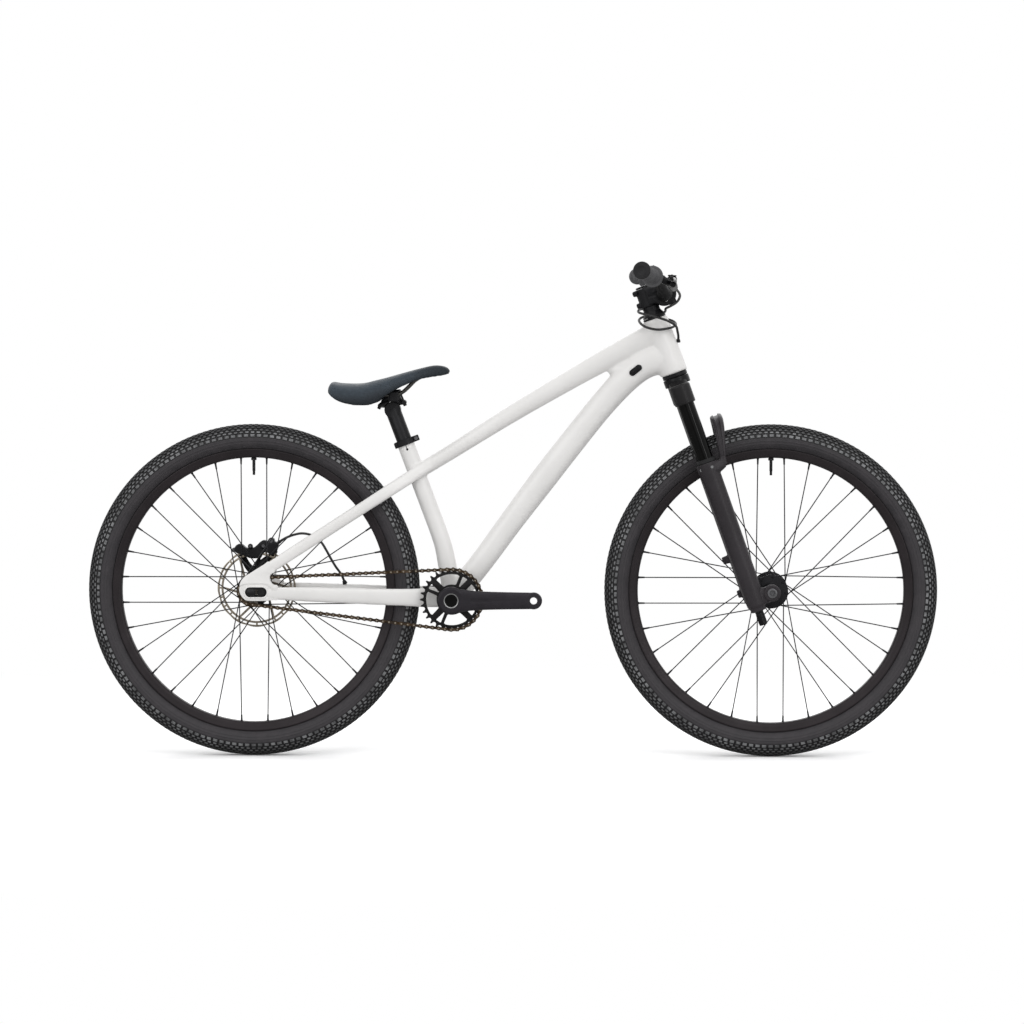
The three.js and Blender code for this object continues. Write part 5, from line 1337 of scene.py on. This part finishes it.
caliper = moved(caliper_body(), REAR_WHEEL)
stand_in("rear_brake_caliper", caliper, "frame", black_alloy, 35)
fittings = joined(
    cap_screw(3.6, REAR_WHEEL @ at(-46.5, 49, 77), 4),
    cap_screw(2.6, REAR_WHEEL @ at(-12, 41, 85.4), 1),
    cap_screw(3.2, REAR_WHEEL @ at(14.6, 41, 86), 1.2),
    cap_screw(4.2, REAR_WHEEL @ at(30, 46, 96), 2.4),
)
part("caliper_screws", fittings, "frame", axle_grey)

# Fork


def crown_shape():
    """The crown: a bridge that arches over the tyre between two leg clamps."""
    half = [
        (0, -64, -41, 34, 34), (0, -50, -38.5, 36, 30), (0, -33, -33, 37, 20), (0, -22, -26, 37.5, 19),
        (0, -12, -19.6, 38, 20.5),
    ]
    rows = [*half, (0, 0, -18.4, 38, 21), *((x, -y, z, wide, tall) for x, y, z, wide, tall in reversed(half))]
    bridge = loft(smooth(rows, 5), 32, 2.8, X_AXIS)
    race = rod_up(21, -24, -9)
    clamps = []
    for side in (-1, 1):
        profile = [(0, -64), (20.7, -64), (21.3, -63.2), (21.3, -26), (19, -23.4), (0, -23)]
        clamps.append(lathe_up(profile, 56, at(0, LEG_SIDE * side, 0)))
    body = cast([bridge, race, *clamps], 1.3, 5)
    pockets = [
        loft(smooth([(0, s * 22, -42, 26, 12), (0, s * 40, -52, 26, 14)], 4), 24, 3, X_AXIS) for s in (-1, 1)
    ]
    return carved(body, *pockets)


stand_in("fork_crown", steered(crown_shape()), "steerer", crown_paint, 40)
race = chamfered([(21.2, -8.5), (25.6, -8.5), (26.4, -9.4), (26.4, -23), (25.4, -24.4), (21.2, -24.4)], 0.4)
part("crown_race", lathe_up(race, 72, STEER), "steerer", bright_black)
steerer = lathe_up(chamfered([(12.3, -8), (14.3, -8), (14.3, 181), (12.3, 181)]), 48, STEER)
part("steerer_tube", steerer, "steerer", black_alloy)
for name, side in SIDES:
    leg = STEER @ at(0, LEG_SIDE * side, 0)
    tube = rod_up(17, -320, -60, 64, leg)
    stand_in("stanchion_" + name, tube, "steerer", stanchion_black)
    ring = chamfered(
        [
            (17.3, -188.2), (20.5, -188.2), (20.5, -184.6), (19.6, -184), (19.6, -182.4), (18.3, -180.6),
            (17.3, -180.6),
        ],
        0.35,
    )
    seal = lathe_up(ring, 64, leg)
    stand_in("fork_seal_" + name, seal, "lowers", seal_rubber)


ARCH = [
    (33.5, 65, -203), (34.5, 65, -190), (38.5, 64.5, -172), (43.5, 61, -150), (47.5, 52, -130),
    (49.2, 36, -118), (49.6, 18, -113.2), (49.6, 0, -112),
]

ARCH_LOW, ARCH_RISE = -190, 72


def arch_share(z):
    """How far the arch has risen from its foot, from 0 to 1."""
    return min(max((z - ARCH_LOW) / ARCH_RISE, 0), 1)


def lowers_shape():
    """Both lower legs, the arch that joins them, the axle lugs and the brake tabs."""
    line = smooth(ARCH + [(x, -y, z) for x, y, z in reversed(ARCH[:-1])], 5)
    solids = [loft([(x, y, z, 12 + 12 * arch_share(z), 13.5) for x, y, z in line], 28, 3.4, X_AXIS)]
    for side in (-1, 1):
        middle = side * LEG_SIDE
        leg = [
            (0, -504), (14.4, -504), (15.6, -502.6), (16, -497), (19.4, -491), (20.3, -478), (20.4, -440),
            (20.2, -360), (20.5, -260), (20.5, -194), (20.4, -188.6), (0, -188.6),
        ]
        solids.append(lathe_up(leg, 56, at(0, middle, 0)))
        shoulder = smooth(
            [(4, middle, -204, 37, 28), (18, middle, -203, 31, 25), (33, middle, -199, 18, 20)], 5,
        )
        solids.append(loft(shoulder, 28, 3))
        boss = lathe([(0, 55.6), (16, 55.6), (17, 56.6), (17, 79.4), (15.6, 81), (0, 81)], 56, AXLE_SPOT)
        solids.append(boss if side > 0 else mirrored(boss))
        web = smooth(
            [(-4, side * 67, -478, 24, 33), (20, side * 67, -478, 23, 33), (37, side * 67.5, -478.1, 22, 32)],
            4,
        )
        solids.append(loft(web, 28, 4))
        rear = smooth([(-14, middle, -199, 24, 16), (-22.4, middle, -199, 14, 15)], 3)
        solids.append(loft(rear, 24, 3))
    for z, reach in ((-469.1, -27.5), (-394.6, -33.5)):
        tab = [
            (-8, 62, z, 14, 22), (-17, 62, z, 13, 17), (reach + 3, 62, z, 13, 15.5), (reach, 62, z, 12, 14.5),
        ]
        solids.append(loft(tab, 28, 5))
    fused = cast(solids, 1.35, 5)
    hub_room = rod(37, -55.3, 55.3, 72, AXLE_SPOT)
    axle_hole = rod(10.3, -130, 130, 48, AXLE_SPOT)
    bores = [rod_up(17.3, -426, -100, 48, at(0, LEG_SIDE * side, 0)) for side in (-1, 1)]
    groove = []
    for x, y, z in line:
        out = Vector((0, y, z - ARCH_LOW)).normalized() * 6.6
        groove.append((x, y + out.y, z + out.z, 6 + 4 * arch_share(z), 5.5))
    groove = loft([row for row in groove if row[2] > ARCH_LOW], 20, 4, X_AXIS)
    return carved(fused, hub_room, axle_hole, *bores, groove)


stand_in("fork_lowers", steered(lowers_shape()), "lowers", fork_paint, 50)
bleeders = []
for x, z in ((-15, -199.5), (7.5, -199.5)):
    for side in (-1, 1):
        rim_side = side * (LEG_SIDE + (12.2 if x < 0 else 19.5))
        bleeders.append(cap_screw(2.9, STEER @ at(x, rim_side, z) @ outwards(side), 1.6))
part("bleed_screws", joined(*bleeders), "lowers", bolt_steel)
axle = chamfered(
    [
        (5.6, -83), (9.2, -83), (10, -82.2), (10, 82.2), (9.2, 83), (5.6, 83), (5.2, 78), (0, 78), (0, -78),
        (5.2, -78),
    ],
    0.3,
)
stand_in("front_axle", lathe(axle, 56, AXLE), "lowers", axle_grey, 30)
knob_profile = [
    (0, -533), (7, -533), (8.3, -531.8), (8.5, -519), (8.5, -510), (8.1, -508.8),
    (8.1, -507.4), (8.5, -506.6), (8.5, -504.6), (0, -504.6),
]
right_leg = STEER @ at(0, -LEG_SIDE, 0)
knob = lathe_up(knob_profile, 40, right_leg)
ribs = []
for i in range(20):
    spot = right_leg @ turn(18 * i, "Z") @ at(8.2, 0, 0)
    ribs.append(placed(block(0.9, 1.0, 16, 0, 0, -520), spot))
stand_in("rebound_knob", joined(knob, *ribs), "rebound_dial", bright_black, 30)
foot = lathe_up([(0, -507), (6, -507), (7, -506.4), (7, -503.5), (0, -503.5)], 32, STEER @ at(0, LEG_SIDE, 0))
part("damper_cap", foot, "lowers", dark_bolt)

# Stem, bar and controls

cover = chamfered(
    [(14.6, 121.4), (22.7, 121.4), (22.7, 123.2), (17.4, 131.6), (17, 133), (17, 143.2), (14.6, 143.2)], 0.4,
)
stand_in("headset_cover", lathe_up(cover, 72, STEER), "steerer", black_alloy)

STEM_HEIGHT = 163
PINCH_HEIGHTS = (151, 176.4)
FACE_HEIGHTS = (138.2, 177.2)


def stem_shape():
    """The stem: a pinch clamp behind, a short neck and half of the bar's clamp in front."""
    clamp = lathe_up([(0, 143.6), (18.7, 143.6), (19.5, 144.6), (19.5, 181.4), (18.7, 182.4), (0, 182.4)], 64)
    neck = softened(block(36, 45, 36.5, 16.2, 0, STEM_HEIGHT), 5, 4)
    ears = [softened(block(27, 20, 11, -12.6, 0, z), 3, 3) for z in PINCH_HEIGHTS]
    jaw = disc(24.6, -23, 23, 2, 64, at(*BAR_MIDDLE))
    front = block(40, 80, 80, 54.6, 0, BAR_MIDDLE[2])
    body = carved(cast([clamp, neck, *ears, carved(jaw, front)], 0.9, 4), front)
    bore = disc(16.1, -60, 60, 0.1, 64, at(*BAR_MIDDLE))
    hole = rod_up(14.5, 100, 240, 48)
    split = block(30, 2, 90, -24, 0, STEM_HEIGHT)
    windows = [softened(block(30, 16, 12, 14, y, STEM_HEIGHT), 3) for y in (30, -30)]
    return carved(body, bore, hole, split, *windows)


def faceplate_shape():
    """The cover that holds the bar, open between its four screws."""
    outer = disc(24.4, -22, 22, 2, 72, at(*BAR_MIDDLE))
    ears = [softened(block(15, 44, 11, 42.2, 0, z), 3, 3) for z in FACE_HEIGHTS]
    behind = block(60, 90, 90, 4.9, 0, BAR_MIDDLE[2])
    body = carved(cast([outer, *ears], 0.8, 3), behind)
    bore = disc(16.1, -60, 60, 0.1, 64, at(*BAR_MIDDLE))
    window = softened(block(40, 20, 17, 56, 0, BAR_MIDDLE[2]), 3.4)
    return carved(body, bore, window)


stand_in("stem", steered(stem_shape()), "steerer", black_alloy, 35)
stand_in("stem_faceplate", steered(faceplate_shape()), "steerer", black_alloy, 35)
cap = [(0, 182.8), (16.2, 182.8), (17, 183.4), (17, 185.2), (15.6, 186.6), (7, 187), (5.6, 185.4), (0, 185.4)]
stand_in("stem_top_cap", lathe_up(cap, 64, STEER), "steerer", bright_black)
screws = [placed(cap_screw(4.4, UPRIGHT, 3), STEER @ at(0, 0, 184.6))]
for z in FACE_HEIGHTS:
    for side in (-15, 15):
        screws.append(placed(cap_screw(4, turn(90, "Z"), 3.4), STEER @ at(49.2, side, z)))
for z, side in zip(PINCH_HEIGHTS, (1, -1)):
    screws.append(placed(cap_screw(3.8, outwards(side), 3), STEER @ at(-21, side * 10.2, z)))
part("stem_screws", joined(*screws), "steerer", dark_bolt)

BAR_START, BAR_KNEE, BAR_TIP = Vector(BAR_MIDDLE), Vector((26.2, 196, 189.2)), Vector((0.7, 385, 212.7))
BAR_END, GRIP_START, RISE_START, RISE_END = 385, 250, 36, 196


def eased(share):
    """A share from 0 to 1 that starts and ends softly."""
    return share * share * (3 - 2 * share)


def bar_point(side):
    """The bar's middle line at a distance to the side, along the steering axis's own measure."""
    reach = abs(side)
    if reach <= RISE_START:
        spot = BAR_START
    elif reach <= RISE_END:
        spot = BAR_START.lerp(BAR_KNEE, eased((reach - RISE_START) / (RISE_END - RISE_START)))
    else:
        spot = BAR_KNEE.lerp(BAR_TIP, (reach - RISE_END) / (BAR_END - RISE_END))
    return Vector((spot.x, side, spot.z))


def bar_radius(side):
    """The bar is thick in the stem and thins towards its ends."""
    share = min(max((abs(side) - RISE_START) / 56, 0), 1)
    return 15.9 - 4.8 * eased(share)


rows = []
for side in np.linspace(-BAR_END, BAR_END, 155):
    rows.append((*bar_point(side), 2 * bar_radius(side), 2 * bar_radius(side)))
bar = placed(loft(rows, 36, 2.0, X_AXIS), STEER)
stand_in("handlebar", bar, "steerer", bar_black, 40)


def bar_place(reach, side=1):
    """A frame on the bar's straight end: its Y axis points outwards along the bar."""
    origin = bar_point(side * reach)
    out = (bar_point(side * BAR_END) - bar_point(side * 200)).normalized()
    forward = (X_AXIS - out * X_AXIS.dot(out)).normalized()
    up = forward.cross(out) if side > 0 else out.cross(forward)
    matrix = Matrix((forward, out, up)).transposed().to_4x4()
    matrix.translation = origin
    return STEER @ matrix


def grip_profile():
    """A soft grip: an inner flange, fine ribs and a smooth waist up to its end."""
    points = [(11.4, 0), (19.6, 0), (21, 1), (21, 3), (19.4, 4.2), (16.2, 5), (15.2, 7)]
    for i in range(24):
        start = 9 + i * 4.8
        points += [
            (15.1, start), (15.1, start + 0.8), (14.3, start + 1.5), (14.3, start + 3.9), (15.1, start + 4.6),
        ]
    return points + [
        (15.2, 126), (16.4, 129), (17.1, 133), (17.1, 137), (15.6, 139), (9, 139.4), (7.6, 138.6), (0, 138.4),
        (0, 136),
    ]


for name, side in SIDES:
    place = bar_place(GRIP_START, side)
    stand_in("grip_" + name, lathe(grip_profile(), 56, place), "steerer", grip_rubber, 40)
    end = [(0, 137), (16.5, 137), (16.9, 138), (15.8, 139.6), (9, 140), (7.6, 139.2), (0, 139)]
    part("grip_end_" + name, lathe(end, 56, place), "steerer", seal_rubber)


PERCH_REACH, PERCH_END = 222, Vector((52.4, -167, 162))
TANK_LEAN = turn(24, "Y")


def perch_shape():
    """The brake's master cylinder with its clamp on the bar, on the rider's right."""
    middle = bar_point(-PERCH_REACH)
    pivot = middle + Vector((26.4, 0, -19.2))
    place = STEER.inverted() @ bar_place(PERCH_REACH, -1)
    ring = lathe(chamfered([(0, -7), (15.4, -7), (15.4, 7), (0, 7)], 1.2), 56, place)
    under = middle + Vector((12, 0, -3))
    neck = smooth([(*under, 14, 14), (*middle.lerp(pivot, 0.6), 14, 15), (*pivot, 13, 15)], 5)
    outer = pivot + Vector((1, -9, -1))
    line = [outer.lerp(PERCH_END, t) for t in (0, 0.1, 0.3, 0.55, 0.8, 0.93, 1)]
    sizes = (15, 18.4, 19, 18.4, 17.6, 16, 12)
    body = loft(smooth([(*p, s, s) for p, s in zip(line, sizes)], 5), 32, 2.3, X_AXIS)
    tank = softened(block(19, 40, 14), 4.4, 4)
    moved(tank, at(*(pivot.lerp(PERCH_END, 0.42) + Vector((3, 2, 9)))) @ TANK_LEAN)
    near, far = pivot + Vector((-2, -6, -1)), pivot + Vector((3, -19, -4))
    ear = loft(smooth([(*near, 15, 15), (*far, 12, 13)], 5), 24, 3)
    clamp_ear = moved(softened(block(15, 13, 9), 2.4, 3), at(*(middle + Vector((3, 0, 17)))))
    fused = cast([ring, loft(neck, 28, 3), body, tank, ear, clamp_ear], 0.9, 4)
    bore = rod(11.7, -40, 40, 48, place)
    split = block(60, 40, 1.4, middle.x - 30, middle.y, middle.z - 4)
    return carved(fused, bore, split), pivot, middle


perch, lever_pivot, perch_middle = perch_shape()
stand_in("brake_perch", steered(perch), "steerer", bright_black, 35)
cover_at = lever_pivot.lerp(PERCH_END, 0.42) + Vector((6, 2, 16.6))
tank_cover = moved(softened(block(16.5, 36, 2.4), 1, 2), at(*cover_at) @ TANK_LEAN)
part("brake_tank_cover", steered(tank_cover), "steerer", black_alloy)
screws = []
for y in (-14, 14):
    spot = at(*(cover_at + Vector((0, y, 1))))
    screws.append(placed(cap_screw(1.8, UPRIGHT, 1.2), STEER @ spot @ TANK_LEAN))
screws.append(placed(cap_screw(3, UPRIGHT, 3), STEER @ at(*(perch_middle + Vector((4, 0, 21))))))
screws.append(placed(cap_screw(3.6, UPRIGHT, 2), STEER @ at(*(lever_pivot + Vector((2, -14, 6))))))
part("brake_screws", joined(*screws), "steerer", dark_bolt)


def blade_shape():
    """The lever's blade: it swings out of the perch, runs along the grip and ends in a rounded hook."""
    start = lever_pivot + Vector((0, -9, 0))
    rows = []
    for along, reach, size in (
        (0, 0, 1.05), (0.08, 0.3, 1.05), (0.18, 0.46, 1), (0.4, 0.42, 0.86), (0.62, 0.24, 0.82),
        (0.82, 0.08, 0.84), (0.92, 0.08, 0.98), (0.98, 0.13, 0.9), (1, 0.15, 0.5),
    ):
        rows.append(
            (start.x + 18 * reach, start.y - 91.5 * along, start.z + 6 * along, 6.4 * size, 10 * size),
        )
    return placed(loft(smooth(rows, 6), 28, 2.8, X_AXIS), STEER)


stand_in("brake_lever", blade_shape(), "lever", bright_black, 50)

# Hoses

FRONT_HOSE = [
    (-4.7, -166, 170), (4.3, -143, 163), (8.3, -117, 154), (3.3, -88, 143), (-8.7, -60, 135),
    (-17.7, -30, 130), (-17.7, 2, 126), (-20.7, 27, 123), (-38.7, 37, 119), (-58.7, 27, 115), (-70.7, 3, 108),
    (-66.7, -22, 99), (-54.7, -35, 92), (-34.7, -39, 88), (-15.7, -32, 90), (-1.7, -15, 94), (3.3, 3, 99),
    (-1.7, 22, 105), (-18.7, 36, 111), (-40.7, 42, 121), (-60.7, 34, 129), (-71.7, 10, 127),
    (-70.7, -14, 122), (-56.7, -32, 118), (-32.7, -42, 112), (-10.7, -40, 104), (2.5, -29, 95), (6, -17, 85),
    (8, -8, 74.5), (7.8, -4, 64),
]
REAR_HOSE = [
    (44, 60, 92), (58, 60, 101), (76, 60, 108), (94, 55, 111), (114, 49, 107), (132, 45, 94), (143, 45, 77),
    (152, 47, 60), (162, 50, 43), (173, 53, 27), (180, 56, 9.2),
]
front_line = [Vector(p) + STEER.translation for p in smooth(FRONT_HOSE, 10)]
front_hose = stand_in("front_brake_hose", hose(front_line, 2.5, 16), None, hose_black)
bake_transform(front_hose)
rear_line = [Vector(p) + REAR_WHEEL.translation for p in smooth(REAR_HOSE, 12)]
stand_in("rear_brake_hose", hose(rear_line, 2.5, 16), "frame", hose_black)


def ferrule(line, start, length, radius):
    """A stepped sleeve round the end of a hose."""
    a, b = Vector(line[start]), Vector(line[start + (4 if start == 0 else -4)])
    along = (b - a).normalized()
    place = at(*a) @ along.to_track_quat("Y", "Z").to_matrix().to_4x4()
    profile = [
        (0, -1), (radius, -1), (radius, length * 0.4), (radius * 0.82, length * 0.5),
        (radius * 0.78, length * 0.94), (radius * 0.7, length), (0, length),
    ]
    return lathe(profile, 24, place)


part("front_hose_sleeve", ferrule(front_line, 0, 15, 4.4), "steerer", bright_black)
part("front_hose_port", ferrule(front_line, -1, 5, 4.6), "frame", seal_rubber)
part("rear_hose_sleeve", ferrule(rear_line, 0, 10, 3.4), "frame", bright_black)
part("rear_hose_port", ferrule(rear_line, -1, 6, 4.8), "frame", seal_rubber)

# Saddle and post

post = lathe_up([(0, -110), (15.45, -110), (15.45, 65), (14.6, 66.5), (0, 66.5)], 64)
PIVOT = SEAT @ Vector((0, 0, 64))
seatpost = combined(placed(post, SEAT), disc(16.4, -14, 14, 1, 56, at(*PIVOT)))
stand_in("seatpost", seatpost, "post", black_alloy, 35)

SADDLE_MIDDLE = Vector((PIVOT.x - 6.37, 0, PIVOT.z + 43.6))
SADDLE_LENGTH, SADDLE_HALF, SADDLE_TALL = 244, 69, 38
# Shares along from tail to nose: half width, crown height, edge height and depth of the hollow underneath
SADDLE = [
    (0, 0.62, 0.1, -0.24, 0.5), (0.03, 0.8, 0.38, -0.45, 0.55), (0.1, 0.93, 0.34, -0.72, 0.68),
    (0.2, 0.99, 0.32, -0.88, 0.72), (0.3, 1, 0.36, -0.92, 0.73), (0.38, 0.93, 0.49, -0.84, 0.73),
    (0.46, 0.82, 0.6, -0.5, 0.64), (0.54, 0.7, 0.73, -0.14, 0.5), (0.64, 0.56, 0.9, 0.18, 0.4),
    (0.76, 0.43, 1.1, 0.46, 0.4), (0.87, 0.34, 1.25, 0.58, 0.4), (0.95, 0.28, 1.2, 0.66, 0.4),
    (0.985, 0.2, 1.08, 0.72, 0.4), (1, 0.08, 0.95, 0.78, 0.4),
]


def saddle_rings():
    """The saddle's sections, from its tail to its nose."""
    rings = []
    for along, width, crown, edge, hollow in smooth(SADDLE, 5):
        x = SADDLE_MIDDLE.x + (along - 0.5) * SADDLE_LENGTH
        low = SADDLE_MIDDLE.z + edge * SADDLE_TALL
        rise = (crown - edge) * SADDLE_TALL
        half = max(SADDLE_HALF * width, 2)
        ring = []
        for i in range(41):
            angle = (i / 40 - 0.5) * pi
            level = max(cos(angle), 0)
            ring.append(Vector((x, half * sin(angle), low + rise * (1 - 0.06 * level**8) * level**0.62)))
        for i in range(1, 28):
            angle = (0.5 - i / 28) * pi
            level = low + rise * hollow * cos(angle) - 1.2 * (i in (1, 27))
            ring.append(Vector((x, half * 0.9 * sin(angle), level)))
        rings.append(ring)
    return rings


saddle = cast([skin(saddle_rings())], 1.7, 22)
saddle = stand_in("saddle", saddle, "saddle_body", slate_cover, 60)

WIRE = [
    (-0.37, 1, -0.12), (-0.3, 1, -0.26), (-0.12, 1, -0.36), (0.05, 1, -0.34), (0.11, 0.98, -0.2),
    (0.165, 0.92, 0.12), (0.21, 0.86, 0.4), (0.27, 0.78, 0.62), (0.33, 0.68, 0.74),
]

RAIL_SIDE, NOSE_BEND = 22, 13


def rail_line():
    """The rail's line: forward on one side, round the bend under the nose and back on the other side."""
    half = []
    for along, spread, rise in WIRE:
        x, z = SADDLE_MIDDLE.x + along * SADDLE_LENGTH, SADDLE_MIDDLE.z + rise * SADDLE_TALL
        half.append((x, spread * RAIL_SIDE, z))
    half += [(x + NOSE_BEND * 0.72, NOSE_BEND * 0.72, z), (x + NOSE_BEND, 0, z)]
    back = [(x, -y, z) for x, y, z in reversed(half[:-1])]
    return smooth(half + back, 8)


rail_steel = satin_black("rail_steel", tinted(70, 69, 67), 0.22, 0.36, 300, 0.9, 0.1)
stand_in("saddle_rails", hose(rail_line(), 3.5, 20), "saddle_body", rail_steel)

FRONT_FOOT, REAR_FOOT = (22.6, 15), (-25.4, 8.4)


def clamp_shape():
    """The cradle on the post's head, which grips both rails between two leaning plates."""
    x, z = PIVOT.x, PIVOT.z
    rows = [
        (x - 25, 0, z + 10, 40, 9), (x - 10, 0, z + 14, 46, 12), (x + 6, 0, z + 20, 50, 14),
        (x + 17, 0, z + 26, 46, 10),
    ]
    cradle = loft(smooth(rows, 5), 28, 3.6)
    upper = [(x - 12, 0, z + 30, 46, 8), (x + 4, 0, z + 35.5, 52, 9), (x + 16, 0, z + 38, 50, 7)]
    jaw = loft(smooth(upper, 5), 28, 3.6)
    yokes = [softened(block(20, 12, 22, x + 3, side * 22, z + 27), 3, 3) for side in (-1, 1)]
    front_x, front_z = x + FRONT_FOOT[0], z + FRONT_FOOT[1]
    rear_x, rear_z = x + REAR_FOOT[0], z + REAR_FOOT[1]
    barrels = [
        disc(5.2, -15, 15, 1, 36, at(front_x, 0, front_z)), disc(4.6, -15, 15, 1, 36, at(rear_x, 0, rear_z)),
    ]
    arms = [
        loft([(x + 6, 0, z + 15, 24, 14), (front_x, 0, front_z, 22, 9)], 24, 3),
        loft([(x - 6, 0, z + 10, 24, 14), (rear_x, 0, rear_z, 22, 8)], 24, 3),
        loft([(x - 21, 0, z + 14, 34, 10), (x - 6, 0, z + 25, 44, 16)], 24, 3),
    ]
    fused = cast([cradle, jaw, *yokes, *barrels, *arms], 0.9, 4)
    head = rod(16.8, -40, 40, 56, at(x, 0, z))
    return carved(fused, head, hose(rail_line(), 3.8, 16))


stand_in("saddle_clamp", clamp_shape(), "saddle_body", black_alloy, 35)
screws = []
for foot, top in ((FRONT_FOOT, (14, 36)), (REAR_FOOT, (-14, 31))):
    low, high = (Vector((PIVOT.x + dx, 0, PIVOT.z + dz)) for dx, dz in (foot, top))
    screws.append(hose([low, low.lerp(high, 0.5), high], 2.4, 12))
    lean = (high - low).to_track_quat("Y", "X").to_matrix().to_4x4()
    screws.append(cap_screw(3.6, at(*(low + (low - high).normalized() * 4.6)) @ lean, 3))
part("saddle_screws", joined(*screws), "saddle_body", dark_bolt)

# Stage


def aimed(spot, aim):
    """The turn of a lamp or camera that looks from one point to another."""
    return (Vector(aim) - Vector(spot)).to_track_quat("-Z", "Y").to_euler()


def stage():
    """A pale floor, four lamps and a white background."""
    scene = bpy.context.scene
    scene.view_settings.view_transform = "Standard"
    world = bpy.data.worlds.new("studio")
    scene.world = world
    world.use_nodes = True
    g = Graph(world.node_tree)
    paths = g.node("ShaderNodeLightPath").socket.node.outputs
    seen = Wire(g, paths["Is Camera Ray"])
    for label in ("Is Glossy Ray", "Is Transmission Ray"):
        seen = g.math("MAXIMUM", seen, Wire(g, paths[label]))
    soft = g.node("ShaderNodeBackground", None, {"Color": (1, 0.995, 0.985, 1), "Strength": 0.8})
    white = g.node("ShaderNodeBackground", None, {"Color": (1, 1, 1, 1), "Strength": 1.0})
    sky = g.node("ShaderNodeMixShader", None, {0: seen, 1: soft, 2: white})
    g.node("ShaderNodeOutputWorld", None, {"Surface": sky})

    size = 30
    mesh = bpy.data.meshes.new("floor")
    mesh.from_pydata(
        [(-size, -size, 0), (size, -size, 0), (size, size, 0), (-size, size, 0)], [], [(0, 1, 2, 3)],
    )
    floor = scene_object(mesh, "floor")
    made, g = finish("floor_paper")
    matte = g.node("ShaderNodeBsdfDiffuse", None, {"Color": (0.92, 0.925, 0.94, 1)})
    more = g.node("ShaderNodeBsdfDiffuse", None, {"Color": (0.36, 0.36, 0.36, 1)})
    near = g.node("ShaderNodeAddShader", None, {0: matte, 1: more})
    bounce = g.node("ShaderNodeBsdfDiffuse", None, {"Color": (0.52, 0.52, 0.52, 1)})
    blank = g.node("ShaderNodeEmission", None, {"Color": (1, 1, 1, 1), "Strength": 1.0})
    x, y, _z = g.axes(g.place())
    far = g.fade(g.math("SQRT", x * x * 0.5 + y * y), 0.8, 1.9)
    paper = g.node("ShaderNodeMixShader", None, {0: far, 1: near, 2: blank})
    camera_ray = g.node("ShaderNodeLightPath", output="Is Camera Ray")
    surface = g.node("ShaderNodeMixShader", None, {0: camera_ray, 1: bounce, 2: paper})
    g.node("ShaderNodeOutputMaterial", None, {"Surface": surface})
    mesh.materials.append(made)

    for name, spot, aim, energy, wide, tall in (
        ("key", (1.6, -3.2, 4.2), (0, 0, 0.45), 46, 3.4, 3.4),
        ("fill", (-2.8, -3.6, 1.9), (0, 0, 0.45), 30, 2.6, 2.6),
        ("back", (0.4, 3.4, 2.6), (0, 0, 0.5), 22, 3.0, 3.0),
        ("strip", (2.5, -3.3, 1.4), (0, 0, 0.6), 14, 0.3, 2.2),
    ):
        lamp = bpy.data.lights.new(name, "AREA")
        lamp.shape, lamp.energy, lamp.size, lamp.size_y = "RECTANGLE", energy, wide, tall
        made = bpy.data.objects.new(name, lamp)
        scene.collection.objects.link(made)
        made.location = spot
        made.rotation_euler = aimed(spot, aim)


def camera():
    lens = bpy.data.cameras.new("camera")
    lens.lens, lens.sensor_width = 125.5, 36
    lens.clip_end = 100
    made = bpy.data.objects.new("camera", lens)
    bpy.context.scene.collection.objects.link(made)
    made.location = (0.163, -7.2, 0.862)
    made.rotation_euler = aimed(made.location, (0, 0, 0.494))
    bpy.context.scene.camera = made


stage()
camera()
